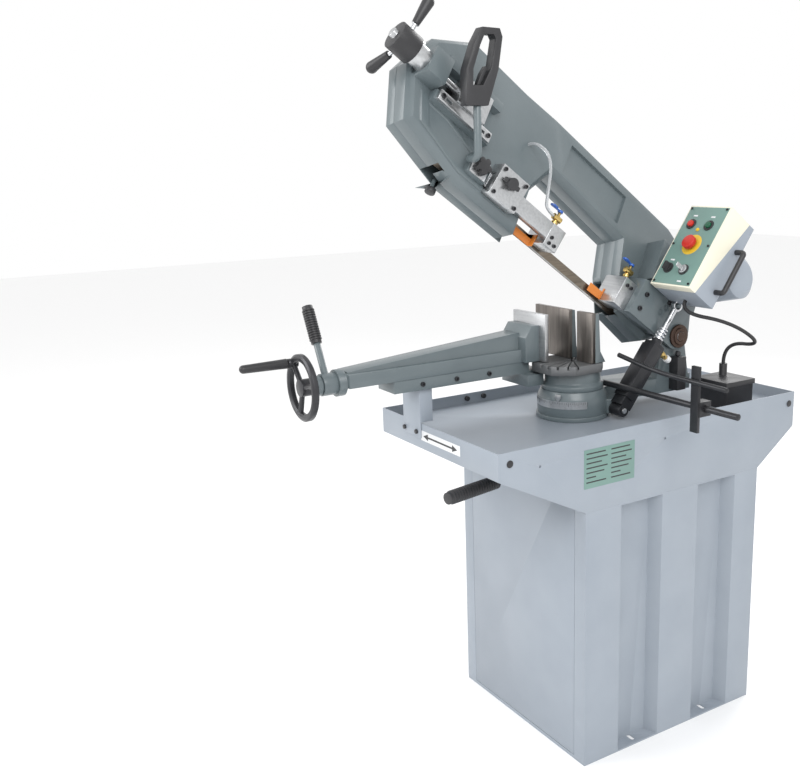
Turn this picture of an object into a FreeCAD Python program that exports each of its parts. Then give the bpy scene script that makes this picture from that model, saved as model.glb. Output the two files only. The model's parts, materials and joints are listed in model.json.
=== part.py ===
"""Swivel-head metal-cutting band saw on a cabinet stand with a coolant tray.

World frame, millimetres: +X is the operator's right, +Y is to the rear, +Z is up, and the origin is the
centre of the cabinet's footprint on the floor.

Three frames are used.
    world   the stand, tray, vise and swivel arm.
    bow     origin on the bow's pivot, Y rearwards along the cutting run of the blade, Z square to it.
            The bow frame is turned about X by the raised angle, so it is level when the bow is down.
    wheels  the plane of the two band wheels inside the bow. It is turned about the cutting run by the
            wheel tilt, so that its X is the wheels' axis, its Y the cutting run, and its Z points from
            the cutting run of the blade to the return run.
"""

import FreeCAD, Part
import math
import os

import Sketcher

Vector = FreeCAD.Vector
doc = FreeCAD.newDocument("BandSaw")
sheet = doc.addObject("Spreadsheet::Sheet", "Dimensions")


# --- driving dimensions -------------------------------------------------------------------------------

DIMENSIONS = {
    # stand
    "cabinet_width": 545, "cabinet_depth": 608, "cabinet_height": 690, "wall": 3, "channel_depth": 38,
    "channel_slope": 14, "channel_start": 114, "channel_pitch": 266, "channel_width": 140,
    "post_width": 42, "slot_width": 12, "slot_length": 26, "anchor_inset": 28,
    "lever_height": 737,
    # tray
    "tray_floor": 855, "tray_lip": 885.5, "front_overhang": 256, "rear_overhang": 138,
    "front_skirt": 66, "rear_skirt": 98, "grommet_radius": 9,
    # turntable and bed
    "turn_y": -126, "foot_radius": 97, "foot_rise": 12, "ring_radius": 94, "ring_top": 932,
    "post_radius": 52, "neck_radius": 83, "bed_top": 1005, "bed_plate": 24, "bed_half": 84,
    "bed_front": 104, "bed_back": 66, "fan_slot_width": 5, "fan_slot_depth": 9,
    # jaws
    "jaw_plane": -125, "jaw_height": 133, "jaw_plate": 12, "jaw_rib": 18, "blade_gap": 32,
    "left_jaw": 148, "right_jaw": 62, "moving_jaw_plane": -200, "moving_jaw": 142, "moving_jaw_x": -78,
    # vise
    "vise_x": -95, "screw_height": 1016, "guide_width": 84, "guide_top": 1005, "guide_depth": 30,
    "guide_front": -640, "arm_width": 84, "arm_front": -760, "arm_band": 34, "arm_front_rise": 18,
    "arm_rear_rise": 76, "screw_radius": 8, "wheel_rim": 72, "rim_radius": 8.5, "wheel_y": -862,
    "crank_length": 108, "crank_radius": 12,
    # swivel arm
    "pivot_y": 170, "pivot_height": 1048, "pivot_radius": 14, "boss_radius": 40, "boss_near": 34,
    "boss_far": 74, "arm_height": 46, "raised_angle": 36.4,
    # bow
    "blade_width": 27, "blade_thickness": 0.9, "blade_top": -21, "wheel_tilt": 15, "wheel_radius": 147.2,
    "idler_y": -862, "drive_y": -98, "motor_y": -22, "motor_length": 168, "housing_back": -12, "housing_face": 42, "web": 14,
    "rim_wall": 12, "beam_top": 322, "beam_bottom": 172, "cover_depth": 30, "cover_sheet": 2.5,
    "front_twist_start": -802, "front_twist_end": -525, "rear_twist_start": -198, "rear_twist_end": -120,
    "gap": 0.4, "fit": 0.05, "guide_gap": 1.2,
    # tensioner
    "tension_w": 135, "tension_a": 60, "tension_hub": 34, "tension_handle": 76, "idler_travel": 5,
    # guides
    "guide_arm_x": 41, "guide_arm_width": 22, "guide_arm_low": -22, "guide_arm_height": 42,
    "guide_arm_root": -732, "guide_arm_end": -520, "front_block_length": 46, "rear_block_front": -240,
    "rear_block_back": -196,
    # control box
    "box_x": 100, "box_width": 142, "box_front": -185, "box_low": 57, "box_high": 300, "box_foot": 24,
    "box_head": 84, "block_depth": 105,
    # feed cylinder
    "cylinder_x": 112, "cylinder_y": -60, "cylinder_height": 880, "eye_y": -75, "eye_rise": 55,
    "cylinder_body": 40, "cylinder_length": 205, "rod_radius": 8, "eye_pin": 6, "eye_clearance": 5,
    # bar stop
    "stop_y": -64, "stop_height": 944, "stop_radius": 8, "stop_end": 520, "stop_bracket": 408,
}


class Size:
    """A number that also knows how the spreadsheet works it out."""

    def __init__(self, value, text):
        self.value = float(value)
        self.text = text

    def __add__(self, other):
        other = size(other)
        return Size(self.value + other.value, f"({self.text} + {other.text})")

    def __sub__(self, other):
        other = size(other)
        return Size(self.value - other.value, f"({self.text} - {other.text})")

    def __mul__(self, other):
        other = size(other)
        return Size(self.value * other.value, f"({self.text} * {other.text})")

    def __truediv__(self, other):
        other = size(other)
        return Size(self.value / other.value, f"({self.text} / {other.text})")

    def __neg__(self):
        return Size(-self.value, f"(-1 * {self.text})")

    def __radd__(self, other):
        return size(other) + self

    def __rsub__(self, other):
        return size(other) - self

    def __rmul__(self, other):
        return size(other) * self


def size(number):
    """A plain number as a Size."""
    return number if isinstance(number, Size) else Size(number, f"({float(number)!r})")


class Sizes:
    """The spreadsheet's dimensions by name."""


def fill_sheet():
    for row, (name, number) in enumerate(DIMENSIONS.items(), start=1):
        sheet.set(f"A{row}", name)
        sheet.set(f"B{row}", str(number))
        sheet.setAlias(f"B{row}", name)
        setattr(Sizes, name, Size(number, f"Dimensions.{name}"))
    doc.recompute()


fill_sheet()
d = Sizes


# --- making pieces ------------------------------------------------------------------------------------

TURN_TO = {
    "X": FreeCAD.Rotation(Vector(0, 1, 0), 90),
    "Y": FreeCAD.Rotation(Vector(1, 0, 0), -90),
    "Z": FreeCAD.Rotation(),
}
PLANE_ROLES = {"XY": "XY_Plane", "XZ": "XZ_Plane", "YZ": "YZ_Plane"}


def bind(made, **properties):
    for name, number in properties.items():
        made.setExpression(name, size(number).text)


def put(made, at, turn=None):
    """Places an object at a point whose coordinates may be sizes."""
    made.Placement = FreeCAD.Placement(Vector(*(size(c).value for c in at)), turn or FreeCAD.Rotation())
    for axis, number in zip("xyz", at):
        made.setExpression(f"Placement.Base.{axis}", size(number).text)
    return made


def box(low, high, turn=None):
    made = doc.addObject("Part::Box", "Block")
    spans = [size(b) - size(a) for a, b in zip(low, high)]
    bind(made, Length=spans[0], Width=spans[1], Height=spans[2])
    return put(made, low, turn)


def rod(radius, length, at, along="Z", turn=None):
    made = doc.addObject("Part::Cylinder", "Rod")
    bind(made, Radius=radius, Height=length)
    return put(made, at, turn or TURN_TO[along])


def cone(radius, end_radius, length, at, along="Z", turn=None):
    made = doc.addObject("Part::Cone", "Cone")
    bind(made, Radius1=radius, Radius2=end_radius, Height=length)
    return put(made, at, turn or TURN_TO[along])


def ball(radius, at):
    made = doc.addObject("Part::Sphere", "Ball")
    bind(made, Radius=radius)
    return put(made, at)


def fuse(*pieces):
    made = doc.addObject("Part::MultiFuse", "Joined")
    made.Shapes = list(pieces)
    made.Refine = True
    return made


def cut(base, *tools):
    made = doc.addObject("Part::Cut", "Cut")
    made.Base = base
    made.Tool = tools[0] if len(tools) == 1 else fuse(*tools)
    made.Refine = True
    return made


def group(*pieces):
    made = doc.addObject("Part::Compound", "Group")
    made.Links = list(pieces)
    return made


def body_plane(body, plane):
    role = PLANE_ROLES[plane]
    return next(f for f in body.Origin.OriginFeatures if f.Role == role)


def outline(body, plane, points):
    """A closed sketch of straight lines whose corners are bound to the sheet."""
    sketch = body.newObject("Sketcher::SketchObject", "Outline")
    sketch.AttachmentSupport = [(body_plane(body, plane), "")]
    sketch.MapMode = "FlatFace"
    corners = [(size(across), size(up)) for across, up in points]
    spots = [Vector(across.value, up.value, 0) for across, up in corners]
    count = len(spots)
    for i in range(count):
        sketch.addGeometry(Part.LineSegment(spots[i], spots[(i + 1) % count]), False)
    for i in range(count):
        sketch.addConstraint(Sketcher.Constraint("Coincident", i, 2, (i + 1) % count, 1))
    for i, (across, up) in enumerate(corners):
        for kind, number in (("DistanceX", across), ("DistanceY", up)):
            index = sketch.addConstraint(Sketcher.Constraint(kind, -1, 1, i, 1, number.value))
            sketch.setExpression(f"Constraints[{index}]", number.text)
    return sketch


def prism(points, depth, at=(0, 0, 0), plane="YZ", taper=0, name="Prism"):
    """A body padded from an outline, from its plane towards the plane's positive side."""
    body = doc.addObject("PartDesign::Body", name)
    sketch = outline(body, plane, points)
    pad = body.newObject("PartDesign::Pad", "Pad")
    pad.Profile = sketch
    bind(pad, Length=depth)
    if plane == "XZ":
        pad.Reversed = True
    if taper:
        pad.TaperAngle = taper
    return put(body, at)


def turned(points, at=(0, 0, 0), along="Z", name="Turned"):
    """A body turned about its own Z from an outline of (radius, height) corners."""
    body = doc.addObject("PartDesign::Body", name)
    sketch = outline(body, "XZ", points)
    spin = body.newObject("PartDesign::Revolution", "Revolution")
    spin.Profile = sketch
    spin.ReferenceAxis = (sketch, ["V_Axis"])
    spin.Angle = 360
    return put(body, at, TURN_TO[along])


def bent_tube(points, radius, bend=0.45):
    """A round bar along straight runs joined by tangent arcs. Points are plain vectors."""
    edges = []
    start = points[0]
    for before, corner, after in zip(points, points[1:], points[2:]):
        into = (corner - before).normalize()
        out = (after - corner).normalize()
        half_turn = into.getAngle(out) / 2
        reach = bend * min((corner - before).Length, (after - corner).Length)
        first = corner - into * reach
        last = corner + out * reach
        bisector = (out - into).normalize()
        arc_radius = reach / math.tan(half_turn)
        middle = corner + bisector * (arc_radius / math.cos(half_turn) - arc_radius)
        edges.append(Part.LineSegment(start, first).toShape())
        edges.append(Part.Arc(first, middle, last).toShape())
        start = last
    edges.append(Part.LineSegment(start, points[-1]).toShape())
    path = Part.Wire(edges)
    section = Part.Wire([Part.makeCircle(radius, points[0], points[1] - points[0])])
    shape = path.makePipeShell([section], True, True)
    made = doc.addObject("Part::Feature", "Tube")
    made.Shape = shape
    return made


def point(*numbers):
    return Vector(*(size(n).value for n in numbers))


# --- the frames and the list of nodes -----------------------------------------------------------------

NODES = []
ABOUT_X = Vector(1, 0, 0)
ABOUT_Y = Vector(0, 1, 0)


def node(label, *pieces, frame="world"):
    """One sub-part: its label is the name of its file."""
    made = doc.addObject("Part::Compound", label)
    made.Links = list(pieces)
    made.Label = label
    if frame == "bow":
        made.Placement = FreeCAD.Placement(
            point(0, d.pivot_y, d.pivot_height), FreeCAD.Rotation(-ABOUT_X, d.raised_angle.value))
        made.setExpression("Placement.Base.y", d.pivot_y.text)
        made.setExpression("Placement.Base.z", d.pivot_height.text)
        made.setExpression("Placement.Rotation.Angle", d.raised_angle.text)
    NODES.append(made)
    return made


blade_middle = d.blade_top - d.blade_width / 2


def in_wheels(*pieces):
    """Moves pieces drawn in the wheels' frame into the bow frame."""
    made = group(*pieces)
    made.Placement = FreeCAD.Placement(
        point(0, 0, blade_middle), FreeCAD.Rotation(-ABOUT_Y, d.wheel_tilt.value))
    made.setExpression("Placement.Base.z", blade_middle.text)
    made.setExpression("Placement.Rotation.Angle", d.wheel_tilt.text)
    return made


def to_bow(a, y, w):
    """A point of the wheels' frame, given in the bow frame."""
    tilt = math.radians(d.wheel_tilt.value)
    a, y, w = (size(n).value for n in (a, y, w))
    return Vector(
        a * math.cos(tilt) - w * math.sin(tilt),
        y,
        blade_middle.value + a * math.sin(tilt) + w * math.cos(tilt))


def to_world(spot):
    """A point of the bow frame, given in the world frame."""
    raised = FreeCAD.Rotation(ABOUT_X, -d.raised_angle.value)
    return raised.multVec(spot) + point(0, d.pivot_y, d.pivot_height)


# --- stand and tray -----------------------------------------------------------------------------------

half_width = d.cabinet_width / 2
half_depth = d.cabinet_depth / 2
tray_front = -half_depth - d.front_overhang
tray_rear = half_depth + d.rear_overhang
tray_under = d.tray_floor - d.wall
post_face = tray_front - 4
channel_starts = (-half_depth + d.channel_start, -half_depth + d.channel_start + d.channel_pitch)


def channel_points(side, inset):
    """The corners of one corrugated side, from the front to the rear."""
    flat = half_width - inset
    floor = half_width - d.channel_depth - inset
    points = [(flat * side, -half_depth + inset)]
    for start in channel_starts:
        end = start + d.channel_width
        points += [
            (flat * side, start - inset / 2),
            (floor * side, start + d.channel_slope - inset / 2),
            (floor * side, end - d.channel_slope + inset / 2),
            (flat * side, end + inset / 2)]
    return points + [(flat * side, half_depth - inset)]


def cabinet_outline(inset):
    right = channel_points(size(1), size(inset))
    left = channel_points(size(-1), size(inset))
    return right + left[::-1]


def cabinet():
    shell = cut(
        prism(cabinet_outline(0), d.cabinet_height, plane="XY", name="CabinetShell"),
        prism(cabinet_outline(d.wall), d.cabinet_height, at=(0, 0, d.wall), plane="XY", name="CabinetInside"))
    neck_half = half_width - d.wall - d.gap
    neck = cut(
        box((-neck_half, -half_depth, d.cabinet_height), (neck_half, half_depth, tray_under)),
        box((-neck_half + d.wall, -half_depth + d.wall, d.cabinet_height - 1),
            (neck_half - d.wall, half_depth - d.wall, tray_under + 1)))
    shoulder = cut(
        box((-half_width, -half_depth, d.cabinet_height - d.wall), (half_width, half_depth, d.cabinet_height)),
        box((-half_width + 60, -half_depth + d.wall, d.cabinet_height - d.wall - 1),
            (half_width - 60, half_depth - d.wall, d.cabinet_height + 1)))
    opening = box(
        (-half_width + d.post_width, -half_depth - 1, 10),
        (half_width - d.post_width, -half_depth + d.wall + 1, tray_under - 8))
    feet = []
    slots = []
    for side in (-1, 1):
        for start in channel_starts:
            edges = sorted(((half_width - d.channel_depth - d.wall) * side, half_width * side),
                           key=lambda edge: edge.value)
            feet.append(box((edges[0], start, 0), (edges[1], start + d.channel_width, d.wall)))
            middle = start + d.channel_width / 2
            centre = (half_width - d.anchor_inset) * side
            half_run = (d.slot_length - d.slot_width) / 2
            slots.append(box((centre - half_run, middle - d.slot_width / 2, -1),
                             (centre + half_run, middle + d.slot_width / 2, d.wall + 1)))
            slots.append(rod(d.slot_width / 2, d.wall + 2, (centre - half_run, middle, -1)))
            slots.append(rod(d.slot_width / 2, d.wall + 2, (centre + half_run, middle, -1)))
    node("cabinet", cut(fuse(shell, neck, shoulder, *feet), opening, *slots))


def front_panel():
    seam = d.gap + 0.6
    panel_half = half_width - d.post_width - seam
    panel = box((-panel_half, -half_depth, 10 + seam), (panel_half, -half_depth + d.wall, tray_under - 8 - seam))
    slot = box((-70, -half_depth - 1, d.lever_height - 22), (150, -half_depth + d.wall + 1, d.lever_height + 22))
    ledge = half_width - d.post_width
    strips = []
    for side in (-1, 1):
        edges = sorted(((ledge - 14) * side, (ledge + 10) * side), key=lambda edge: edge.value)
        strips.append(box((edges[0], -half_depth + d.wall, 20), (edges[1], -half_depth + 2 * d.wall, 680)))
    node("front_panel", cut(panel, slot), *strips)


def tray():
    side_outline = [
        (tray_front, d.tray_lip), (tray_front, d.tray_lip - d.front_skirt), (-half_depth, d.cabinet_height),
        (half_depth, d.cabinet_height), (tray_rear, d.tray_lip - d.rear_skirt), (tray_rear, d.tray_lip)]
    sides = [prism(side_outline, d.wall, at=(-half_width, 0, 0), name="TraySide"),
             prism(side_outline, d.wall, at=(half_width - d.wall, 0, 0), name="TraySide")]
    floor = box((-half_width, tray_front, tray_under), (half_width, tray_rear, d.tray_floor))
    front = box((-half_width, tray_front, d.tray_lip - d.front_skirt),
                (half_width, tray_front + d.wall, d.tray_lip))
    rear = box((-half_width, tray_rear - d.wall, d.tray_lip - d.rear_skirt),
               (half_width, tray_rear, d.tray_lip))
    holes = []
    for place, height in ((-442, 836), (-47, 835)):
        holes.append(rod(3.5, 4 * d.wall, (half_width - 2 * d.wall, place, height), "X"))
    centre = rod(d.post_radius - 12, 4 * d.wall, (0, d.turn_y, tray_under - d.wall))
    node("drip_tray", cut(fuse(floor, front, rear, *sides), centre, *holes))
    plugs = [rod(d.grommet_radius, 2, (half_width, place, height), "X")
             for place, height in ((-528, 858), (421, 854))]
    screws = []
    for place in (-292, -236):
        screws.append(rod(7, 9, (-half_width + d.wall, place, 872), "X"))
    for across in (-143, -83):
        screws.append(rod(6, 5, (across, post_face - 5, 862), "Y"))
    node("tray_fasteners", *plugs, *screws)


# --- turntable, bed and jaws --------------------------------------------------------------------------

def around_turntable(radius_points, name):
    return turned(radius_points, at=(0, d.turn_y, 0), name=name)


def turntable_base():
    ring_low = d.tray_floor + d.foot_rise
    neck_low = d.ring_top + d.gap
    bed_low = d.bed_top - d.bed_plate
    profile = [
        (0, d.tray_floor), (d.foot_radius, d.tray_floor), (d.foot_radius, ring_low),
        (d.post_radius, ring_low), (d.post_radius, neck_low), (d.neck_radius, neck_low),
        (d.neck_radius, neck_low + 12), (d.neck_radius - 8, neck_low + 20), (d.neck_radius - 8, bed_low),
        (0, bed_low)]
    base = around_turntable(profile, "TurntableBase")
    stud = rod(12, d.tray_floor - d.lever_height + 22, (0, d.turn_y, d.lever_height - 22))
    node("turntable_base", base, stud)


def bed():
    low = d.bed_top - d.bed_plate
    front = d.turn_y - d.bed_front
    back = d.turn_y + d.bed_back
    nose = d.bed_half - 42
    points = [
        (-nose, front), (nose, front), (d.bed_half, front + 46), (d.bed_half, back - 36),
        (d.bed_half - 36, back), (-d.bed_half + 36, back), (-d.bed_half, back - 36), (-d.bed_half, front + 46)]
    plate = prism(points, d.bed_plate, at=(0, 0, low), plane="XY", name="BedPlate")
    slots = []
    for angle in (0, 15, 30, 45, 60):
        turn = FreeCAD.Rotation(Vector(0, 0, 1), angle)
        length = d.bed_front + d.bed_back + 60
        slot = box((0, d.turn_y, d.bed_top - d.fan_slot_depth),
                   (d.fan_slot_width, d.turn_y + length, d.bed_top + 1))
        offset = turn.multVec(point(-d.fan_slot_width / 2, -length / 2, 0))
        slot.Placement.Rotation = turn
        slot.setExpression("Placement.Base.x", f"{offset.x!r}")
        slot.setExpression("Placement.Base.y", f"{d.turn_y.text} + ({offset.y!r})")
        slots.append(slot)
    node("bed", cut(plate, *slots))


def jaw_face(low, high):
    return box((low, d.jaw_plane, d.bed_top + d.gap), (high, d.jaw_plane + d.jaw_plate, d.bed_top + d.jaw_height))


def jaw_back(low, high, shoulder, name):
    """The ribbed casting behind a jaw plate, narrower at its top."""
    rear = d.jaw_plane + d.jaw_plate
    profile = [
        (rear, d.bed_top + d.gap), (d.turn_y + d.bed_back - 17, d.bed_top + d.gap),
        (rear + d.jaw_rib, d.bed_top + shoulder), (rear + d.jaw_rib - 6, d.bed_top + d.jaw_height - 3),
        (rear, d.bed_top + d.jaw_height - 3)]
    return prism(profile, high - low, at=(low, 0, 0), name=name)


def jaws():
    half_gap = d.blade_gap / 2
    node("left_jaw", jaw_face(-half_gap - d.left_jaw, -half_gap),
         jaw_back(-half_gap - d.left_jaw + 6, -half_gap - 4, 30, "LeftJawCasting"))
    node("right_jaw", jaw_face(half_gap, half_gap + d.right_jaw),
         jaw_back(half_gap + 2, half_gap + d.right_jaw, 30, "RightJawCasting"))


# --- vise ---------------------------------------------------------------------------------------------

def vise_guide():
    """The fixed beam under the sliding arm, and its post on the tray's front."""
    left = d.vise_x - d.guide_width / 2
    right = d.vise_x + d.guide_width / 2
    rear = d.turn_y - d.bed_front + 40
    beam = box((left, d.guide_front, d.guide_top - d.guide_depth), (right, rear, d.guide_top))
    root = box((left, rear - 70, d.guide_top - 60), (-20, rear, d.guide_top - d.guide_depth))
    neck = rod(d.neck_radius + d.gap, 200, (0, d.turn_y, 860))
    under_bed = box((-300, d.turn_y - d.bed_front - 1, d.bed_top - d.bed_plate), (300, 0, 1100))
    node("vise_guide", cut(fuse(beam, root), neck, under_bed))
    post_top = d.guide_top - d.guide_depth
    post = box((left - 14, post_face, 848), (right - 12, tray_front, post_top))
    flange = box((right - 16, tray_front, 888), (right - 12, tray_front + 34, post_top))
    cap = box((left - 14, tray_front, post_top - 4), (right - 12, tray_front + 34, post_top))
    node("vise_post", fuse(post, flange, cap))


def vise_arm():
    low = d.guide_top + d.gap
    band_top = low + d.arm_band
    arm_rear = d.moving_jaw_plane - d.jaw_plate
    half = d.arm_width / 2
    left = d.vise_x - half
    band = box((left, d.arm_front, low), (left + d.arm_width, arm_rear - 40, band_top))
    wedge = prism(
        [(d.arm_front + 4, band_top), (arm_rear - 40, band_top), (arm_rear - 40, band_top + 44),
         (d.arm_front + 4, band_top + d.arm_front_rise - 14)],
        d.arm_width - 26, at=(left + 10, 0, 0), name="ArmWedge")
    jaw_low = d.bed_top + 2
    jaw_left = d.moving_jaw_x - d.moving_jaw / 2 + 8
    jaw_profile = [
        (arm_rear, jaw_low), (arm_rear, jaw_low + 96), (arm_rear - 24, jaw_low + 96),
        (arm_rear - 44, jaw_low + 66), (arm_rear - 44, jaw_low)]
    jaw = prism(jaw_profile, d.moving_jaw - 34, at=(jaw_left, 0, 0), name="JawBlock")
    nose = rod(33, 20, (d.vise_x, d.arm_front - 20, d.screw_height), "Y")
    tunnel = rod(d.screw_radius + 1, 420, (d.vise_x, d.arm_front - 40, d.screw_height), "Y")
    node("vise_arm", cut(fuse(band, wedge, jaw, nose), tunnel))
    plate_left = d.moving_jaw_x - d.moving_jaw / 2
    node("moving_jaw_plate", box(
        (plate_left, arm_rear, jaw_low), (plate_left + d.moving_jaw, d.moving_jaw_plane, jaw_low + 126)))


def handwheel():
    centre = (d.vise_x, d.wheel_y, d.screw_height)
    inner = d.wheel_rim - d.rim_radius
    outer = d.wheel_rim + d.rim_radius
    bevel = d.rim_radius * 0.6
    rim = turned([
        (inner, -bevel), (inner + bevel, -d.rim_radius), (outer - bevel, -d.rim_radius), (outer, -bevel),
        (outer, bevel), (outer - bevel, d.rim_radius), (inner + bevel, d.rim_radius), (inner, bevel)],
        centre, "Y", "WheelRim")
    hub = rod(21, 34, (d.vise_x, d.wheel_y - 8, d.screw_height), "Y")
    spokes = []
    for index in range(3):
        angle = 133 + 120 * index
        turn = FreeCAD.Rotation(Vector(0, 1, 0), -angle) * TURN_TO["X"]
        way = turn.multVec(Vector(0, 0, 1))
        root = (d.vise_x + way.x * 12, d.wheel_y, d.screw_height + way.z * 12)
        spokes.append(rod(6.5, d.wheel_rim - 12, root, turn=turn))
    boss_angle = math.radians(133)
    boss_at = (d.vise_x + d.wheel_rim * math.cos(boss_angle), d.wheel_y - 14,
               d.screw_height + d.wheel_rim * math.sin(boss_angle))
    boss = rod(11, 24, boss_at, "Y")
    screw = rod(d.screw_radius, 380, (d.vise_x, d.wheel_y + 26, d.screw_height), "Y")
    collar = rod(24, 18, (d.vise_x, d.wheel_y + 26, d.screw_height), "Y")
    node("vise_screw", fuse(screw, collar))
    grip_start = (boss_at[0], d.wheel_y - 14 - d.crank_length - 2, boss_at[2])
    grip = cut(
        fuse(cone(d.crank_radius - 2, d.crank_radius, d.crank_length, grip_start, "Y"),
             ball(d.crank_radius - 2, grip_start)),
        rod(4 + d.fit, d.crank_length - 8, (grip_start[0], grip_start[1] + 10, grip_start[2]), "Y"))
    node("crank_grip", grip)
    pin = rod(4, d.crank_length - 10, (boss_at[0], grip_start[1] + 14, boss_at[2]), "Y")
    node("handwheel", fuse(hub, rim, boss, pin, *spokes))


def clamp_lever():
    """The quick clamp between the arm's nose and the screw's collar."""
    start = d.arm_front - 20 - d.gap
    length = 36
    at = (d.vise_x, start - length, d.screw_height)
    ring = rod(27, length, at, "Y")
    bore = rod(d.screw_radius + 0.6, length + 2, (d.vise_x, start - length - 1, d.screw_height), "Y")
    turn = FreeCAD.Rotation(Vector(0, 1, 0), -118) * TURN_TO["X"]
    stem_at = (d.vise_x, start - length / 2, d.screw_height)
    stem = rod(8.5, 104, stem_at, turn=turn)
    lean = math.radians(118)
    grip_at = (d.vise_x + 104 * math.cos(lean), start - length / 2, d.screw_height + 104 * math.sin(lean))
    node("clamp_lever", cut(fuse(ring, stem), bore), rod(13, 96, grip_at, turn=turn))


# --- lock lever and swivel arm ------------------------------------------------------------------------

def lock_lever():
    """The lever under the tray that clamps the swivel arm."""
    height = d.lever_height
    hub = cut(rod(24, 24, (0, d.turn_y, height - 12)), rod(12 + d.fit, 26, (0, d.turn_y, height - 13)))
    turn = FreeCAD.Rotation(Vector(0, 0, 1), -78.4) * TURN_TO["X"]
    way = turn.multVec(Vector(0, 0, 1))
    shank = rod(8, 282, (way.x * 20, d.turn_y + way.y * 20, height), turn=turn)
    grip = rod(15, 168, (way.x * 302, d.turn_y + way.y * 302, height), turn=turn)
    node("lock_lever", fuse(hub, shank), grip)


def swivel_arm():
    low = d.tray_floor + d.foot_rise + d.gap
    arm_low = d.ring_top - d.arm_height + 4
    ring = around_turntable([
        (d.post_radius + d.fit, low), (d.ring_radius, low), (d.ring_radius, d.ring_top - 20),
        (d.neck_radius + 2, d.ring_top), (d.post_radius + d.fit, d.ring_top)], "SwivelRing")
    beam = prism([
        (-56, d.turn_y + 60), (56, d.turn_y + 60), (d.boss_far, d.pivot_y - 60), (d.boss_far, d.pivot_y + 68),
        (-20, d.pivot_y + 68), (-40, d.pivot_y - 60)], d.ring_top - arm_low, at=(0, 0, arm_low), plane="XY",
        name="SwivelBeam")
    width = d.boss_far - d.boss_near
    column = prism([
        (d.pivot_y - 66, arm_low), (d.pivot_y + 68, arm_low),
        (d.pivot_y + d.boss_radius - 1, d.pivot_height), (d.pivot_y - d.boss_radius + 1, d.pivot_height)],
        width, at=(d.boss_near, 0, 0), name="PivotColumn")
    foot = box((-10, d.pivot_y - 55, d.ring_top - 2), (d.boss_near + 1, d.pivot_y + 60, d.pivot_height - 92))
    boss = rod(d.boss_radius, width, (d.boss_near, d.pivot_y, d.pivot_height), "X")
    bore = rod(d.pivot_radius + d.fit, width + 4, (d.boss_near - 2, d.pivot_y, d.pivot_height), "X")
    lug = box((50, d.cylinder_y - 20, low), (d.cylinder_x - 22, d.cylinder_y + 22, d.cylinder_height + 24))
    clear_post = rod(d.post_radius + d.fit, 80, (0, d.turn_y, low - 2))
    pin = rod(7, 46, (d.cylinder_x - 22, d.cylinder_y, d.cylinder_height), "X")
    node("swivel_arm", cut(fuse(ring, beam, column, foot, boss, lug), bore, clear_post), pin)
    switch = box((d.boss_far, d.pivot_y - 12, d.pivot_height - 150),
                 (d.boss_far + 32, d.pivot_y + 20, d.pivot_height - 58))
    roller = rod(7, 8, (d.boss_far + 12, d.pivot_y + 4, d.pivot_height - 50), "X")
    stem = box((d.boss_far + 14, d.pivot_y + 1, d.pivot_height - 58),
               (d.boss_far + 18, d.pivot_y + 7, d.pivot_height - 48))
    node("limit_switch", fuse(switch, roller, stem))


# --- feed cylinder ------------------------------------------------------------------------------------

def cylinder_way():
    """Where the feed cylinder points at rest, from its lower pin to the eye pin on the bow."""
    low = point(d.cylinder_x, d.cylinder_y, d.cylinder_height)
    eye = to_world(point(d.cylinder_x, d.eye_y, d.eye_rise))
    return low, eye


def feed_cylinder():
    low, eye = cylinder_way()
    reach = (eye - low).Length
    turn = FreeCAD.Rotation(Vector(0, 0, 1), eye - low)
    half = d.cylinder_body / 2

    def posed(piece):
        made = group(piece)
        made.Placement = FreeCAD.Placement(low, turn)
        return made

    length = d.cylinder_length
    end = rod(17, d.cylinder_body, (-half, 0, 0), "X")
    body = box((-half, -half, 10), (half, half, length))
    gland = rod(14, 12, (0, 0, length))
    bore = rod(d.rod_radius + d.fit, length, (0, 0, 18))
    pin_bore = rod(7 + d.fit, d.cylinder_body + 4, (-half - 2, 0, 0), "X")
    guard = fuse(
        box((-half, -half - 5, 34), (half + 5, -half, length - 12)),
        box((half, -half, 34), (half + 5, half - 10, length - 12)))
    valve = fuse(rod(7, 38, (-2, half, length - 9), "Y"), rod(9, 12, (-2, half + 14, length - 9), "Y"))
    node("feed_cylinder", posed(cut(fuse(end, body, gland), bore, pin_bore)), posed(guard), posed(valve))
    eye_bore = d.eye_pin + d.eye_clearance
    shaft = rod(d.rod_radius, reach - 76 - eye_bore - 3, (0, 0, 76))
    head = cut(rod(eye_bore + 5, 12, (-6, 0, reach), "X"), rod(eye_bore, 16, (-8, 0, reach), "X"))
    node("piston_rod", posed(fuse(shaft, head)))
    node("valve_knob", posed(rod(10, 14, (-2, half + 38 + d.gap, length - 9), "Y")))


# --- bow ----------------------------------------------------------------------------------------------

wheel_w = d.wheel_radius + d.blade_thickness / 2 + 0.3


def bow_outline():
    """The casting's edge in the wheels' frame, from the nose along the underside and back."""
    mouth = d.front_twist_end - 65
    return [
        (d.idler_y - 172, wheel_w - 7), (d.idler_y - 123, 17), (d.idler_y + 62, -32), (mouth, -32),
        (mouth, 100), (mouth + 38, d.beam_bottom + 6), (d.drive_y - 164, d.beam_bottom - 7),
        (d.drive_y - 142, 72), (d.drive_y - 92, -18), (d.drive_y + 38, -32), (d.drive_y + 168, 60),
        (d.drive_y + 176, 180), (d.drive_y + 118, 290), (d.drive_y, d.beam_top),
        (d.idler_y + 262, d.beam_top), (d.idler_y + 154, d.beam_top - 6), (d.idler_y - 33, d.beam_top - 4),
        (d.idler_y - 138, 240)]


def wheel_spaces(start, depth, radius):
    """Round pockets for the two wheels; the idler's is centred on its travel and wider for it."""
    idler_room = radius - 1 + d.idler_travel / 2
    return [rod(idler_room, depth, (start, d.idler_y + d.idler_travel / 2, wheel_w), "X"),
            rod(radius, depth, (start, d.drive_y, wheel_w), "X")]


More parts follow.
